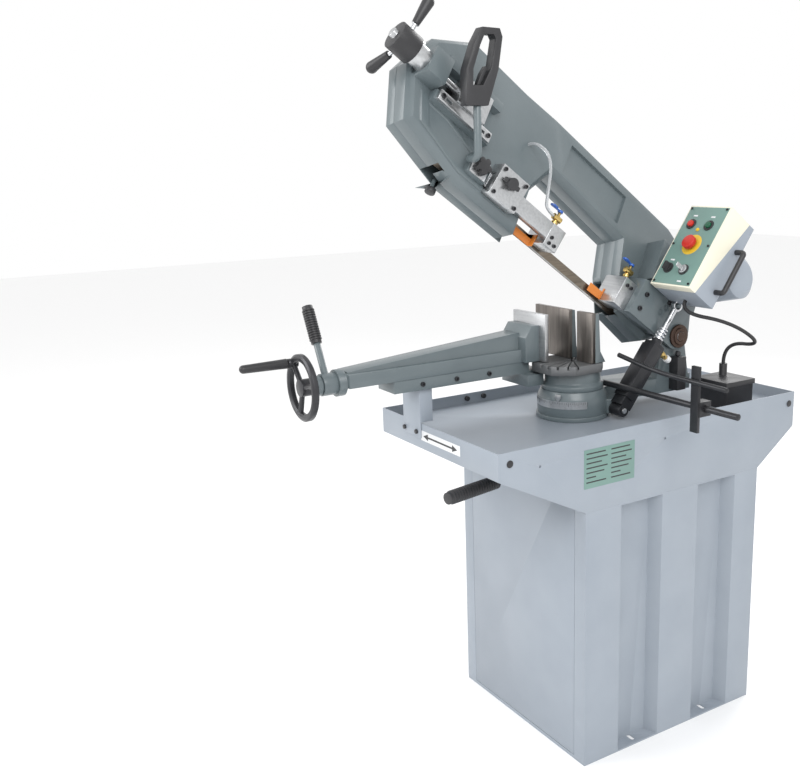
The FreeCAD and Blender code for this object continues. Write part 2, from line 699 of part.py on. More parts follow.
def bow_casting():
    back = d.housing_back
    bevel = 18
    outline_points = bow_outline()
    plate = prism(outline_points, d.housing_face - bevel - back, at=(back, 0, 0), name="BowPlate")
    face = prism(outline_points, bevel, at=(d.housing_face - bevel, 0, 0), taper=-38, name="BowFace")
    inner = d.housing_face - d.web - back
    spaces = wheel_spaces(back - 1, inner + 1, d.wheel_radius + 4)
    channel = box((back - 1, d.idler_y, wheel_w + 125), (22, d.drive_y, wheel_w + 162))
    front_run = box((back - 1, d.idler_y, -21), (26, d.front_twist_end, 34))
    rear_run = box((back - 1, d.drive_y - 190, -19), (26, d.drive_y, 44))
    recess = box((d.housing_face - 10, -524, d.beam_bottom + 26),
                 (d.housing_face + 1, -290, d.beam_top - 36))
    slot_half = 28
    window = box((0, d.idler_y - 62, wheel_w - slot_half), (d.housing_face + 9, d.idler_y + 66, wheel_w + slot_half))
    rail_low = d.housing_face - 1
    rails = []
    for side in (-1, 1):
        edges = sorted((wheel_w + 36 * side, wheel_w + 62 * side), key=lambda edge: edge.value)
        rails.append(box((rail_low, d.idler_y - 96, edges[0]), (d.housing_face + 24, d.idler_y + 84, edges[1])))
    boss = box((14, d.idler_y - 150, wheel_w - 34), (d.tension_a + 32, d.idler_y - 95, wheel_w + 34))
    screw_bore = rod(9 + d.fit, 120, (d.tension_a, d.idler_y - 170, wheel_w), "Y")
    collar_seat = box((32, d.idler_y - 200, wheel_w - 28), (90, d.idler_y - 150, wheel_w + 28))
    handle_boss = box((rail_low, d.idler_y + 60, 0), (d.housing_face + 18, d.idler_y + 118, 52))
    casting = in_wheels(cut(
        fuse(plate, face, boss, handle_boss, *rails),
        *spaces, channel, front_run, rear_run, recess, window, screw_bore, collar_seat))
    yoke = fuse(
        rod(d.boss_radius + 6, 90, (d.boss_near - d.gap, 0, 0), "X"),
        box((d.boss_near - d.gap, -d.boss_radius - 24, -170), (d.boss_near + 90, d.boss_radius + 80, 0)))
    shaft_bore = rod(d.pivot_radius, 200, (0, 0, 0), "X")
    node("bow_casting", cut(casting, yoke, shaft_bore), frame="bow")


def pivot_bracket():
    """The casting bolted to the bow that carries the outer pivot lug and the rear blade guide."""
    inner = d.boss_far + d.gap
    outer = inner + 17
    lug = prism([
        (d.rear_block_back, -38), (-60, -38), (0, -d.boss_radius), (30, -28), (d.boss_radius, 0), (28, 30),
        (0, 76), (-110, 82), (d.rear_block_back, 62)], outer - inner, at=(inner, 0, 0), name="PivotLug")
    block = box((10, d.rear_block_back, -38), (inner + 1, -70, 62))
    clear = fuse(
        rod(d.boss_radius + 6, inner - 10, (10, 0, 0), "X"),
        box((10, -d.boss_radius - 18, -90), (inner, 60, -30)))
    casting_side = in_wheels(box((-200, -500, -200), (d.housing_face, 300, 400)))
    arcs = []
    for angle in (100, 135, 170):
        lean = math.radians(angle)
        arcs.append(rod(9, 8, (outer - 5, -60 + 38 * math.cos(lean), 12 + 38 * math.sin(lean)), "X"))
    shaft_bore = rod(d.pivot_radius, 60, (inner - 20, 0, 0), "X")
    eye_pin = rod(d.eye_pin, d.cylinder_x - outer + 12, (outer, d.eye_y, d.eye_rise), "X")
    bracket = cut(fuse(lug, block), clear, casting_side, shaft_bore, *arcs)
    node("pivot_bracket", bracket, eye_pin, frame="bow")
    disc = fuse(
        rod(32, 7, (outer + d.gap, 0, 0), "X"), rod(23, 5, (outer + d.gap + 7, 0, 0), "X"))
    ring = rod(d.pivot_radius, 30, (outer - 2, 0, 0), "X")
    shaft = rod(d.pivot_radius, outer + 14 - 18, (18, 0, 0), "X")
    node("pivot_shaft", shaft, cut(disc, ring), frame="bow")


def wheel_cover():
    back = d.housing_back - d.gap
    low = back - d.cover_depth
    outer = prism(bow_outline(), d.cover_depth, at=(low, 0, 0), name="CoverShell")
    hollow = fuse(
        *wheel_spaces(low + d.cover_sheet, d.cover_depth, d.wheel_radius + 4),
        box((low + d.cover_sheet, d.idler_y, wheel_w + 125), (back + 1, d.drive_y, wheel_w + 162)),
        box((low + d.cover_sheet, d.idler_y, -28), (back + 1, d.front_twist_end, 60)),
        box((low + d.cover_sheet, d.drive_y - 190, -14), (back + 1, d.drive_y, 60)))
    tail = box((low, d.front_twist_end - 66, -32), (low + d.cover_sheet, d.front_twist_end - 48, -6))
    knob = fuse(rod(5, 26, (-30, d.idler_y + 42, -46)), rod(13, 12, (-30, d.idler_y + 42, -56)))
    node("wheel_cover", in_wheels(fuse(cut(outer, hollow), tail, knob)), frame="bow")


def band_wheels():
    def wheel(y):
        rim = rod(d.wheel_radius, d.blade_width, (-d.blade_width / 2, y, wheel_w), "X")
        flange = rod(d.wheel_radius + 2.5, 3, (d.blade_width / 2 + 0.6, y, wheel_w), "X")
        hollow = rod(d.wheel_radius - 14, 9, (-d.blade_width / 2 - 1, y, wheel_w), "X")
        back = rod(d.wheel_radius - 14, 12, (d.blade_width / 2 - 7, y, wheel_w), "X")
        hub = rod(28, 32, (-19, y, wheel_w), "X")
        bore = rod(14 + d.fit, 60, (-30, y, wheel_w), "X")
        return in_wheels(cut(fuse(cut(fuse(rim, flange), hollow, back), hub), bore))

    node("idler_wheel", wheel(d.idler_y), frame="bow")
    node("drive_wheel", wheel(d.drive_y), frame="bow")
    slide_low = d.housing_face + d.gap
    slide = fuse(
        box((slide_low, d.idler_y - 44, wheel_w - 36 + d.gap), (slide_low + 40, d.idler_y + 44, wheel_w + 36 - d.gap)),
        rod(22, slide_low - 14, (14, d.idler_y, wheel_w), "X"))
    screw_bore = rod(9 + d.fit, 120, (d.tension_a, d.idler_y - 60, wheel_w), "Y")
    axle = rod(14, 41, (-27, d.idler_y, wheel_w), "X")
    nut = rod(20, 6, (-26, d.idler_y, wheel_w), "X")
    node("idler_slide", in_wheels(cut(slide, screw_bore)), in_wheels(fuse(axle, nut)), frame="bow")


def tension_fittings():
    """The gib, the collar, the gauge and the square plate on the front of the bow."""
    gib_at = wheel_w - 49
    gib = cut(
        box((d.housing_face + 24, d.idler_y - 90, gib_at - 13), (d.housing_face + 34, d.idler_y + 78, gib_at + 13)),
        *[box((d.housing_face + 22, d.idler_y + y - 9, gib_at - 4),
              (d.housing_face + 36, d.idler_y + y + 9, gib_at + 4)) for y in (-60, 48)])
    at_y = d.idler_y - 150
    collar = rod(27, 34, (d.tension_a, at_y - 34, wheel_w), "Y")
    collar_bore = rod(9 + d.fit, 36, (d.tension_a, at_y - 35, wheel_w), "Y")
    plug = rod(17, 46, (16, d.idler_y - 196, wheel_w + 56), "Y")
    gauge = cut(plug, prism(bow_outline(), 60, at=(d.housing_back - 5, 0, 0)))
    plate = cut(
        box((d.housing_face + 18, d.idler_y + 64, 1), (d.housing_face + 22, d.idler_y + 114, 51)),
        rod(5, 8, (d.housing_face + 16, d.idler_y + 89, 26), "X"))
    node("tension_fittings", in_wheels(gib), in_wheels(cut(collar, collar_bore)), in_wheels(gauge),
         in_wheels(plate), frame="bow")


def tension_knob():
    at_y = d.idler_y - 150
    hub_low = at_y - 34 - d.gap - 56
    hub = fuse(
        rod(d.tension_hub, 56, (d.tension_a, hub_low, wheel_w), "Y"),
        rod(11, 10, (d.tension_a, hub_low - 10, wheel_w), "Y"))
    screw = rod(9, 210, (d.tension_a, hub_low + 56, wheel_w), "Y")
    handles = []
    for angle in (75, 195):
        turn = FreeCAD.Rotation(Vector(0, 1, 0), -angle) * TURN_TO["X"]
        way = turn.multVec(Vector(0, 0, 1))
        root = d.tension_hub
        at = (d.tension_a + way.x * root, hub_low + 28, wheel_w + way.z * root)
        knob_at = (d.tension_a + way.x * (root + 16), hub_low + 28, wheel_w + way.z * (root + 16))
        end_at = (d.tension_a + way.x * (root + d.tension_handle), hub_low + 28,
                  wheel_w + way.z * (root + d.tension_handle))
        handles.append(fuse(
            rod(5, 20, at, turn=turn), cone(9, 14, d.tension_handle - 16, knob_at, turn=turn), ball(14, end_at)))
    node("tension_knob", in_wheels(hub), in_wheels(screw), *[in_wheels(handle) for handle in handles],
         frame="bow")


# --- blade --------------------------------------------------------------------------------------------

def blade_section(y, angle):
    """The blade's cross-section at a station, turned from the wheels' plane by the twist."""
    half_width = d.blade_width.value / 2
    half_thick = d.blade_thickness.value / 2
    lean = math.radians(angle)
    along = Vector(math.cos(lean), 0, math.sin(lean))
    out = Vector(-math.sin(lean), 0, math.cos(lean))
    middle = Vector(0, y, blade_middle.value)
    corners = [along * (half_width * i) + out * (half_thick * j) + middle
               for i, j in ((-1, -1), (1, -1), (1, 1), (-1, 1))]
    return Part.makePolygon(corners + corners[:1])


def blade_twist(start, start_angle, end, end_angle, steps=6):
    spans = []
    for i in range(steps):
        sections = []
        for share in (i / steps, (i + 1) / steps):
            sections.append(blade_section(
                start + (end - start) * share, start_angle + (end_angle - start_angle) * share))
        spans.append(Part.makeLoft(sections, True, True))
    return spans


def blade():
    """A closed band: flat on the wheels and along the return run, upright between the guides."""
    tilt = d.wheel_tilt.value
    front_start = d.front_twist_start.value
    rear_end = d.rear_twist_end.value
    spans = blade_twist(front_start, tilt, d.front_twist_end.value, 90)
    spans += blade_twist(d.front_twist_end.value, 90, d.rear_twist_start.value, 90, 1)
    spans += blade_twist(d.rear_twist_start.value, 90, rear_end, tilt)
    spans += blade_twist(d.idler_y.value, tilt, front_start, tilt, 1)
    spans += blade_twist(rear_end, tilt, d.drive_y.value, tilt, 1)
    frame = FreeCAD.Placement(Vector(0, 0, blade_middle.value), FreeCAD.Rotation(-ABOUT_Y, tilt))
    inner = wheel_w.value - d.blade_thickness.value / 2
    outer = wheel_w.value + d.blade_thickness.value / 2
    start = Vector(-d.blade_width.value / 2, 0, 0)
    for y, side in ((d.idler_y.value, -1), (d.drive_y.value, 1)):
        centre = start + Vector(0, y, wheel_w.value)
        arcs = []
        for radius, way in ((inner, 1), (outer, -1)):
            ends = [centre + Vector(0, 0, radius * way), centre + Vector(0, 0, -radius * way)]
            arcs.append(Part.Arc(ends[0], centre + Vector(0, radius * side, 0), ends[1]).toShape())
        joins = [
            Part.makeLine(centre + Vector(0, 0, -inner), centre + Vector(0, 0, -outer)),
            Part.makeLine(centre + Vector(0, 0, outer), centre + Vector(0, 0, inner))]
        half = Part.Face(Part.Wire([arcs[0], joins[0], arcs[1], joins[1]])).extrude(
            Vector(d.blade_width.value, 0, 0))
        half.Placement = frame
        spans.append(half)
    back_run = Part.makeBox(
        d.blade_width.value, d.drive_y.value - d.idler_y.value, d.blade_thickness.value,
        start + Vector(0, d.idler_y.value, wheel_w.value + inner))
    back_run.Placement = frame
    spans.append(back_run)
    made = doc.addObject("Part::Feature", "BladeBand")
    made.Shape = spans[0].multiFuse(spans[1:])
    node("blade", made, frame="bow")


# --- blade guides -------------------------------------------------------------------------------------

def casting_side():
    """Everything on the wheels' side of the bow's outer face."""
    return in_wheels(box((-200, -1200, -200), (d.housing_face, 300, 400)))


def guides():
    arm_left = d.guide_arm_x
    arm_right = arm_left + d.guide_arm_width
    arm_low = d.guide_arm_low
    arm_top = arm_low + d.guide_arm_height
    node("guide_arm", box((arm_left, d.guide_arm_root, arm_low), (arm_right, d.guide_arm_end, arm_top)),
         frame="bow")
    knob_y = d.guide_arm_root + 36
    channel = box((arm_left - d.gap, d.guide_arm_root - 10, arm_low - d.gap),
                  (arm_right + d.gap, d.guide_arm_root + 100, arm_top + d.gap))
    holder = box((arm_left - 3, d.guide_arm_root - 3, arm_low - 13), (arm_right + 17, knob_y + 51, arm_top + 25))
    stud_bore = rod(6 + d.fit, 40, (arm_right - 5, knob_y, arm_top - 6), "X")
    node("arm_clamp", cut(holder, casting_side(), channel, stud_bore), frame="bow")
    outer = arm_right + 17 + d.gap
    knob = fuse(
        rod(6, 17, (arm_right + 2, knob_y, arm_top - 6), "X"), rod(15, 16, (outer, knob_y, arm_top - 6), "X"),
        box((outer + 4, knob_y - 24, arm_top - 11), (outer + 12, knob_y + 24, arm_top - 1)))
    node("clamp_knob", knob, frame="bow")
    front = d.guide_arm_end
    back = front + d.front_block_length
    slot_top = d.blade_top + 3
    block = cut(
        box((-20, front, -38), (arm_right, back, arm_top + 2)),
        box((-4, front - 1, -40), (4, back + 1, slot_top)))
    node("front_guide_block", block, frame="bow")
    guard = fuse(
        box((8, front - 65, -50), (10, front, -30)), box((8, front - 2, -50), (26, front, -16)))
    node("front_guard", guard, frame="bow")
    rear_block = cut(
        box((-10, d.rear_block_front, -38), (70, d.rear_block_back, 40)),
        box((-4, d.rear_block_front - 1, -40), (4, d.rear_block_back + 1, slot_top)),
        in_wheels(prism(bow_outline(), 90, at=(d.housing_back - 30, 0, 0))))
    rear_guard = fuse(
        box((8, d.rear_block_front - 50, -38), (10, d.rear_block_front, -14)),
        box((8, d.rear_block_front - 2, -38), (15, d.rear_block_front, -4)))
    node("rear_guide_block", rear_block, rear_guard, frame="bow")


def tap(name, x, y, base):
    """A small coolant tap: a stem, a body across it and a lever on top."""
    stem = fuse(
        rod(5, 34, (x, y, base)), rod(9, 8, (x, y, base + 8)), rod(8, 26, (x, y - 13, base + 26), "Y"),
        rod(4, 12, (x, y, base + 30)))
    node(name, stem, frame="bow")
    lever = fuse(
        rod(7, 6, (x, y, base + 42 + d.gap)), box((x - 4, y - 30, base + 44 + d.gap), (x + 4, y, base + 47 + d.gap)))
    node(name + "_lever", lever, frame="bow")


# --- handle on the front of the bow -------------------------------------------------------------------

def front_handle():
    plate_face = d.housing_face + 22
    knob_y = d.idler_y + 89
    lean = math.radians(d.raised_angle.value)
    lobes = []
    for index in range(5):
        angle = math.radians(72 * index)
        lobes.append(rod(8, 18, (plate_face + d.gap, knob_y + 14 * math.cos(angle), 26 + 14 * math.sin(angle)), "X"))
    knob = fuse(rod(15, 18, (plate_face + d.gap, knob_y, 26), "X"),
                rod(5 - d.fit, 18, (plate_face - 3.6, knob_y, 26), "X"), *lobes)
    node("lobed_knob", in_wheels(knob), frame="bow")
    corner = point(96, d.idler_y + 50, 4)
    upright = Vector(0, -math.sin(lean), math.cos(lean))
    foot = corner + upright * 115
    tube = bent_tube([point(60, d.idler_y + 50, 4), corner, foot], 9)
    node("handle_tube", cut(tube, casting_side()), frame="bow")
    loop = cut(
        prism([(-36, 0), (22, 0), (51, 79), (63, 149), (56, 167), (9, 168), (-12, 135), (-35, 76)], 28,
              at=(-14, 0, 0), name="GripLoop"),
        prism([(-18, 44), (9, 44), (33, 84), (45, 144), (40, 153), (15, 153), (2, 128), (-17, 78)], 30,
              at=(-15, 0, 0), name="GripOpening"))
    trigger = prism([(-4, 44.4), (5, 44.4), (26, 82), (20, 86), (8, 70)], 14, at=(-7, 0, 0), name="Trigger")
    for label, piece in (("grip_handle", loop), ("trigger", trigger)):
        posed = group(piece)
        posed.Placement = FreeCAD.Placement(foot, FreeCAD.Rotation(ABOUT_X, d.raised_angle.value))
        node(label, posed, frame="bow")


# --- drive, control box and motor ---------------------------------------------------------------------

def gear_motor():
    face = d.housing_face
    gear_w = wheel_w + 12
    gearbox = in_wheels(fuse(
        box((face, d.drive_y - 62, gear_w - 62), (face + 58, d.drive_y + 132, gear_w + 62)),
        rod(58, d.motor_length, (face + 57, d.motor_y, gear_w), "X"),
        cone(58, 40, 14, (face + 57 + d.motor_length, d.motor_y, gear_w), "X")))
    mount = box((60, -150, 110), (d.box_x, -82, 240))
    shaft = in_wheels(fuse(
        rod(14, face - d.web + 27, (-27, d.drive_y, wheel_w), "X"), rod(20, 6, (-26, d.drive_y, wheel_w), "X")))
    node("gear_motor", fuse(gearbox, cut(mount, casting_side())), shaft, frame="bow")


def control_box():
    right = d.box_x + d.box_width
    low_split = d.box_front + d.box_foot
    top_split = d.box_front + d.box_head
    back = d.box_front + d.block_depth
    case = prism([(d.box_front, d.box_low), (low_split, d.box_low), (top_split, d.box_high),
                  (d.box_front, d.box_high)], d.box_width, at=(d.box_x, 0, 0), name="ControlCase")
    hood = prism([(low_split, d.box_low), (back, d.box_low), (back, d.box_high), (top_split, d.box_high)],
                 d.box_width, at=(d.box_x, 0, 0), name="MotorHood")
    bores = []
    for x, z, radius in ((136, 242, 9), (198, 240, 9), (174, 181, 9), (137, 107, 9), (192, 106, 9)):
        bores.append(rod(radius, 22, (x, d.box_front - 1, z), "Y"))
    rings = [
        rod(15, 4, (x, d.box_front - 4, z), "Y") for x, z in ((136, 242), (198, 240), (137, 107), (192, 106))]
    ring_bores = [rod(9, 6, (x, d.box_front - 5, z), "Y") for x, z in ((136, 242), (198, 240), (137, 107), (192, 106))]
    seal = cut(rod(30, 2, (174, d.box_front - 2, 181), "Y"), rod(9, 4, (174, d.box_front - 3, 181), "Y"))
    node("control_box", cut(fuse(case, *rings), *bores, *ring_bores), seal, frame="bow")
    eye_room = box((d.box_x - 1, back - 14, d.box_low - 1), (d.cylinder_x + 14, back + 1, d.box_low + 17))
    node("motor_cover", cut(hood, eye_room), frame="bow")
    handle = bent_tube([
        point(right, -100, 217), point(right + 28, -100, 217), point(right + 28, -100, 96),
        point(right, -100, 96)], 7, 0.3)
    node("cover_handle", handle, frame="bow")
    shank = 9 - 0.3
    top = d.box_front - 4 - d.gap
    for label, x, z in (("stop_button", 136, 242), ("start_button", 198, 240)):
        button = rod(shank, 22, (x, top - 5, z), "Y")
        node(label, button, frame="bow")
    mushroom = fuse(
        rod(shank, 22, (174, d.box_front - 8, 181), "Y"), rod(19, 12, (174, d.box_front - 20, 181), "Y"))
    node("emergency_stop", mushroom, frame="bow")
    selector = fuse(
        rod(9 - d.fit, 18, (137, top - 4, 107), "Y"), rod(13, 4, (137, top - 4, 107), "Y"),
        box((133, top - 16, 96), (141, top - 4, 118)))
    node("selector", selector, frame="bow")
    key = fuse(
        rod(9 - d.fit, 18, (192, top - 4, 106), "Y"), rod(12, 4, (192, top - 4, 106), "Y"),
        box((191, top - 28, 100), (193, top - 4, 112)))
    node("key_switch", key, frame="bow")


# --- bar stop, pump and hoses -------------------------------------------------------------------------

def bar_stop():
    bar = rod(d.stop_radius, d.stop_end - 30, (30, d.stop_y, d.stop_height), "X")
    neck = around_turntable([(0, 900), (d.neck_radius, 900), (d.neck_radius, 970), (0, 970)], "NeckSpace")
    node("stop_rod", cut(bar, neck))
    grip = box((d.stop_bracket - 14, d.stop_y - 22, d.stop_height - 18),
               (d.stop_bracket + 14, d.stop_y + 16, d.stop_height + 18))
    plate = box((d.stop_bracket - 12, d.stop_y - 26, d.stop_height - 56),
                (d.stop_bracket + 12, d.stop_y - 18, d.stop_height + 104))
    bore = rod(d.stop_radius + d.fit, 60, (d.stop_bracket - 30, d.stop_y, d.stop_height), "X")
    finger = bent_tube([point(150, d.stop_y - 32, 1037), point(292, d.stop_y - 32, 1015),
                        point(512, d.stop_y - 32, 1010)], 6)
    node("stop_bracket", cut(fuse(grip, plate), bore), finger)


def pump():
    low = (110, 226, d.tray_floor)
    case = box(low, (222, 330, 916))
    lid = box((106, 222, 916), (226, 334, 930))
    spout = rod(11, 34, (140, 300, 929))
    node("coolant_pump", fuse(case, lid, spout))


def hoses():
    outlet = [to_world(point(170, -110, height)) for height in (d.box_low - d.gap, 20)]
    spout = Vector(140, 300, 963 + d.gap.value)
    line = outlet + [Vector(200, 260, 1090), Vector(236, 350, 1020), spout + Vector(0, 0, 60), spout]
    node("pump_hose", bent_tube(line, 5))
    start = to_bow(d.housing_face, -652, 192)
    run = [start, start + Vector(26, 0, 7), Vector(52, -610, 150), Vector(34, -556, 70),
           Vector(30, -540, 48), Vector(30, -511.4, 48)]
    node("front_hose", bent_tube(run, 4), frame="bow")


cabinet()
front_panel()
tray()
turntable_base()
bed()
jaws()
vise_guide()
vise_arm()
handwheel()
clamp_lever()
lock_lever()
swivel_arm()
feed_cylinder()
bow_casting()
pivot_bracket()
wheel_cover()
band_wheels()
tension_fittings()
tension_knob()
blade()
guides()
tap("front_tap", 30, d.guide_arm_end + 22, 22)
tap("rear_tap", 40, d.rear_block_front + 20, 40)
front_handle()
gear_motor()
control_box()
bar_stop()
pump()
hoses()


# --- check and export ---------------------------------------------------------------------------------

doc.recompute()
faults = []
for made in doc.Objects:
    if "Invalid" in made.State or "Error" in made.State:
        faults.append(f"{made.Label}: {made.State}")
for made in NODES:
    if made.Shape.isNull() or not made.Shape.isValid() or not made.Shape.Solids:
        faults.append(f"{made.Label}: not a valid solid")
if faults:
    raise RuntimeError("; ".join(faults))

os.makedirs("parts", exist_ok=True)
for made in NODES:
    made.Shape.exportStep(f"parts/{made.Label}.step")
print(len(NODES), "sub-parts written")
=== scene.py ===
"""Swivel-head band saw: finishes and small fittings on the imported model, in metres."""
import json
import math

import bmesh
import bpy
from mathutils import Matrix, Vector
from mathutils.geometry import area_tri as triangle_area


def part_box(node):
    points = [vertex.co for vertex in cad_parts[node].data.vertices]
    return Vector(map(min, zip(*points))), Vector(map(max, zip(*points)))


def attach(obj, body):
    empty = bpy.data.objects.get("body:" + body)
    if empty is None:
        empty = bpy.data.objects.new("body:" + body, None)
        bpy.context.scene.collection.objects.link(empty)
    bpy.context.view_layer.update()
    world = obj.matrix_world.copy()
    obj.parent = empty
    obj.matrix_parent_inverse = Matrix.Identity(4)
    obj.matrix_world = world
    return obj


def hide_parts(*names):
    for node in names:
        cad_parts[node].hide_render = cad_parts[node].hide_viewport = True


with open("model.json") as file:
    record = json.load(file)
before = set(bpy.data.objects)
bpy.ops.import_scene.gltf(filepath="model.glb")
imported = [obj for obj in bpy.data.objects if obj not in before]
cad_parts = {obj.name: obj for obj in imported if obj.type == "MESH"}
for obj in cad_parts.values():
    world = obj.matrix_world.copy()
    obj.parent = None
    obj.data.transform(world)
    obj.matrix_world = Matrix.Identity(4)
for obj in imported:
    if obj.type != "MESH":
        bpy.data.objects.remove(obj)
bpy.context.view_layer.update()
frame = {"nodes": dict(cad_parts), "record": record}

RECORD = frame["record"]
BODY_OF = {node: body for body, nodes in RECORD["behaviour"]["bodies"].items() for node in nodes}
SLOT_OF = {entry["node"]: entry["material_slot"] for entry in RECORD["subparts"]}
JOINTS = {joint["name"]: joint for joint in RECORD["behaviour"]["joints"]}
SCENE = bpy.context.scene

# The bow is stored raised, and its band wheels lean across it.
RAISED = math.radians(36.4)
LEAN = math.radians(15)
BLADE_LINE = -0.0345
WHEEL_CENTRE = 0.14795
PIVOT = Vector(JOINTS["bow_lift"]["pos_m"])
BOW = Matrix.Translation(PIVOT) @ Matrix.Rotation(-RAISED, 4, "X")
WHEELS = BOW @ Matrix.Translation((0, 0, BLADE_LINE)) @ Matrix.Rotation(-LEAN, 4, "Y")
WORLD = Matrix.Identity(4)
SCREW_AXIS = Vector(JOINTS["clamp_turn"]["pos_m"])
TURN_AXIS = Vector(JOINTS["swivel_turn"]["pos_m"])

# Rounding of the pieces' edges, the sharpest bend that is shaded smooth, and the overlap of thin plates.
EDGE = 0.0012
SMOOTH_BEND = 32
SUNK = 0.0004


# --- camera, floor and light --------------------------------------------------------------------------

def set_camera():
    """Seen from the front right, a little above the bed."""
    turn = math.radians(57.65)
    rise = math.radians(13.0)
    roll = math.radians(-1.34)
    back = Vector((math.sin(turn) * math.cos(rise), -math.cos(turn) * math.cos(rise), math.sin(rise)))
    level = Vector((math.cos(turn), math.sin(turn), 0))
    up = back.cross(level)
    right = level * math.cos(roll) + up * math.sin(roll)
    top = up * math.cos(roll) - level * math.sin(roll)
    camera = bpy.data.objects.new("camera", bpy.data.cameras.new("camera"))
    SCENE.collection.objects.link(camera)
    axes = Matrix((right, top, back)).transposed().to_4x4()
    camera.matrix_world = Matrix.Translation((1.9815, -1.7388, 1.5215)) @ axes
    camera.data.sensor_width = 36
    camera.data.lens = 43.55
    camera.data.shift_x = -0.075
    SCENE.camera = camera


def add_light(name, place, aim, size, power):
    """A soft rectangular light at place, turned to aim."""
    light = bpy.data.lights.new(name, "AREA")
    light.shape = "RECTANGLE"
    light.size, light.size_y = size
    light.energy = power
    made = bpy.data.objects.new(name, light)
    SCENE.collection.objects.link(made)
    made.location = place
    made.rotation_euler = (Vector(aim) - Vector(place)).to_track_quat("-Z", "Y").to_euler()


def set_studio():
    """A white surround, three soft lights and a pale floor."""
    world = bpy.data.worlds.new("studio")
    SCENE.world = world
    world.use_nodes = True
    background = world.node_tree.nodes["Background"]
    background.inputs["Color"].default_value = (1, 1, 1, 1)
    background.inputs["Strength"].default_value = 1.0
    SCENE.view_settings.view_transform = "Standard"
    add_light("key", (3.2, -1.6, 3.4), (0, -0.2, 0.9), (2.4, 2.4), 95)
    add_light("front", (-1.6, -3.4, 2.6), (0, -0.2, 0.9), (2.2, 2.2), 60)
    add_light("rim", (-1.4, 2.8, 3.2), (0, 0, 1.1), (2.0, 2.0), 50)
    mesh = bpy.data.meshes.new("floor")
    mesh.from_pydata([(-14, -14, 0), (14, -14, 0), (14, 14, 0), (-14, 14, 0)], [], [(0, 1, 2, 3)])
    floor = bpy.data.objects.new("floor", mesh)
    SCENE.collection.objects.link(floor)
    paint = bpy.data.materials.new("floor")
    paint.use_nodes = True
    shader = paint.node_tree.nodes["Principled BSDF"]
    shader.inputs["Base Color"].default_value = (0.93, 0.93, 0.93, 1)
    shader.inputs["Roughness"].default_value = 0.9
    mesh.materials.append(paint)


# --- finishes -----------------------------------------------------------------------------------------

def finish(name, colour, shade, roughness, metallic=0.0, grain=400.0, relief=0.0, mottle=8.0,
           stretch=(1, 1, 1), coat=0.0, see_through=0.0):
    """A finish whose colour drifts towards shade, with a fine grain in its gloss and its relief."""
    made = bpy.data.materials.new(name)
    made.use_nodes = True
    nodes = made.node_tree.nodes
    links = made.node_tree.links
    shader = nodes["Principled BSDF"]
    shader.inputs["Metallic"].default_value = metallic
    shader.inputs["Coat Weight"].default_value = coat
    shader.inputs["Coat Roughness"].default_value = 0.15
    shader.inputs["Transmission Weight"].default_value = see_through
    place = nodes.new("ShaderNodeTexCoord")
    scaled = nodes.new("ShaderNodeMapping")
    scaled.inputs["Scale"].default_value = stretch
    links.new(place.outputs["Object"], scaled.inputs["Vector"])
    drift = nodes.new("ShaderNodeTexNoise")
    drift.inputs["Scale"].default_value = mottle
    drift.inputs["Detail"].default_value = 5
    fine = nodes.new("ShaderNodeTexNoise")
    fine.inputs["Scale"].default_value = grain
    fine.inputs["Detail"].default_value = 3
    for texture in (drift, fine):
        links.new(scaled.outputs["Vector"], texture.inputs["Vector"])
    blend = nodes.new("ShaderNodeMix")
    blend.data_type = "RGBA"
    blend.inputs["A"].default_value = (*colour, 1)
    blend.inputs["B"].default_value = (*shade, 1)
    spread = nodes.new("ShaderNodeMapRange")
    spread.inputs["From Min"].default_value = 0.35
    spread.inputs["From Max"].default_value = 0.75
    links.new(drift.outputs["Fac"], spread.inputs["Value"])
    links.new(spread.outputs["Result"], blend.inputs["Factor"])
    links.new(blend.outputs["Result"], shader.inputs["Base Color"])
    gloss = nodes.new("ShaderNodeMapRange")
    gloss.inputs["To Min"].default_value = max(roughness - 0.07, 0.02)
    gloss.inputs["To Max"].default_value = min(roughness + 0.07, 1)
    links.new(fine.outputs["Fac"], gloss.inputs["Value"])
    links.new(gloss.outputs["Result"], shader.inputs["Roughness"])
    if relief:
        bump = nodes.new("ShaderNodeBump")
        bump.inputs["Strength"].default_value = relief
        bump.inputs["Distance"].default_value = 0.001
        links.new(fine.outputs["Fac"], bump.inputs["Height"])
        links.new(bump.outputs["Normal"], shader.inputs["Normal"])
    return made


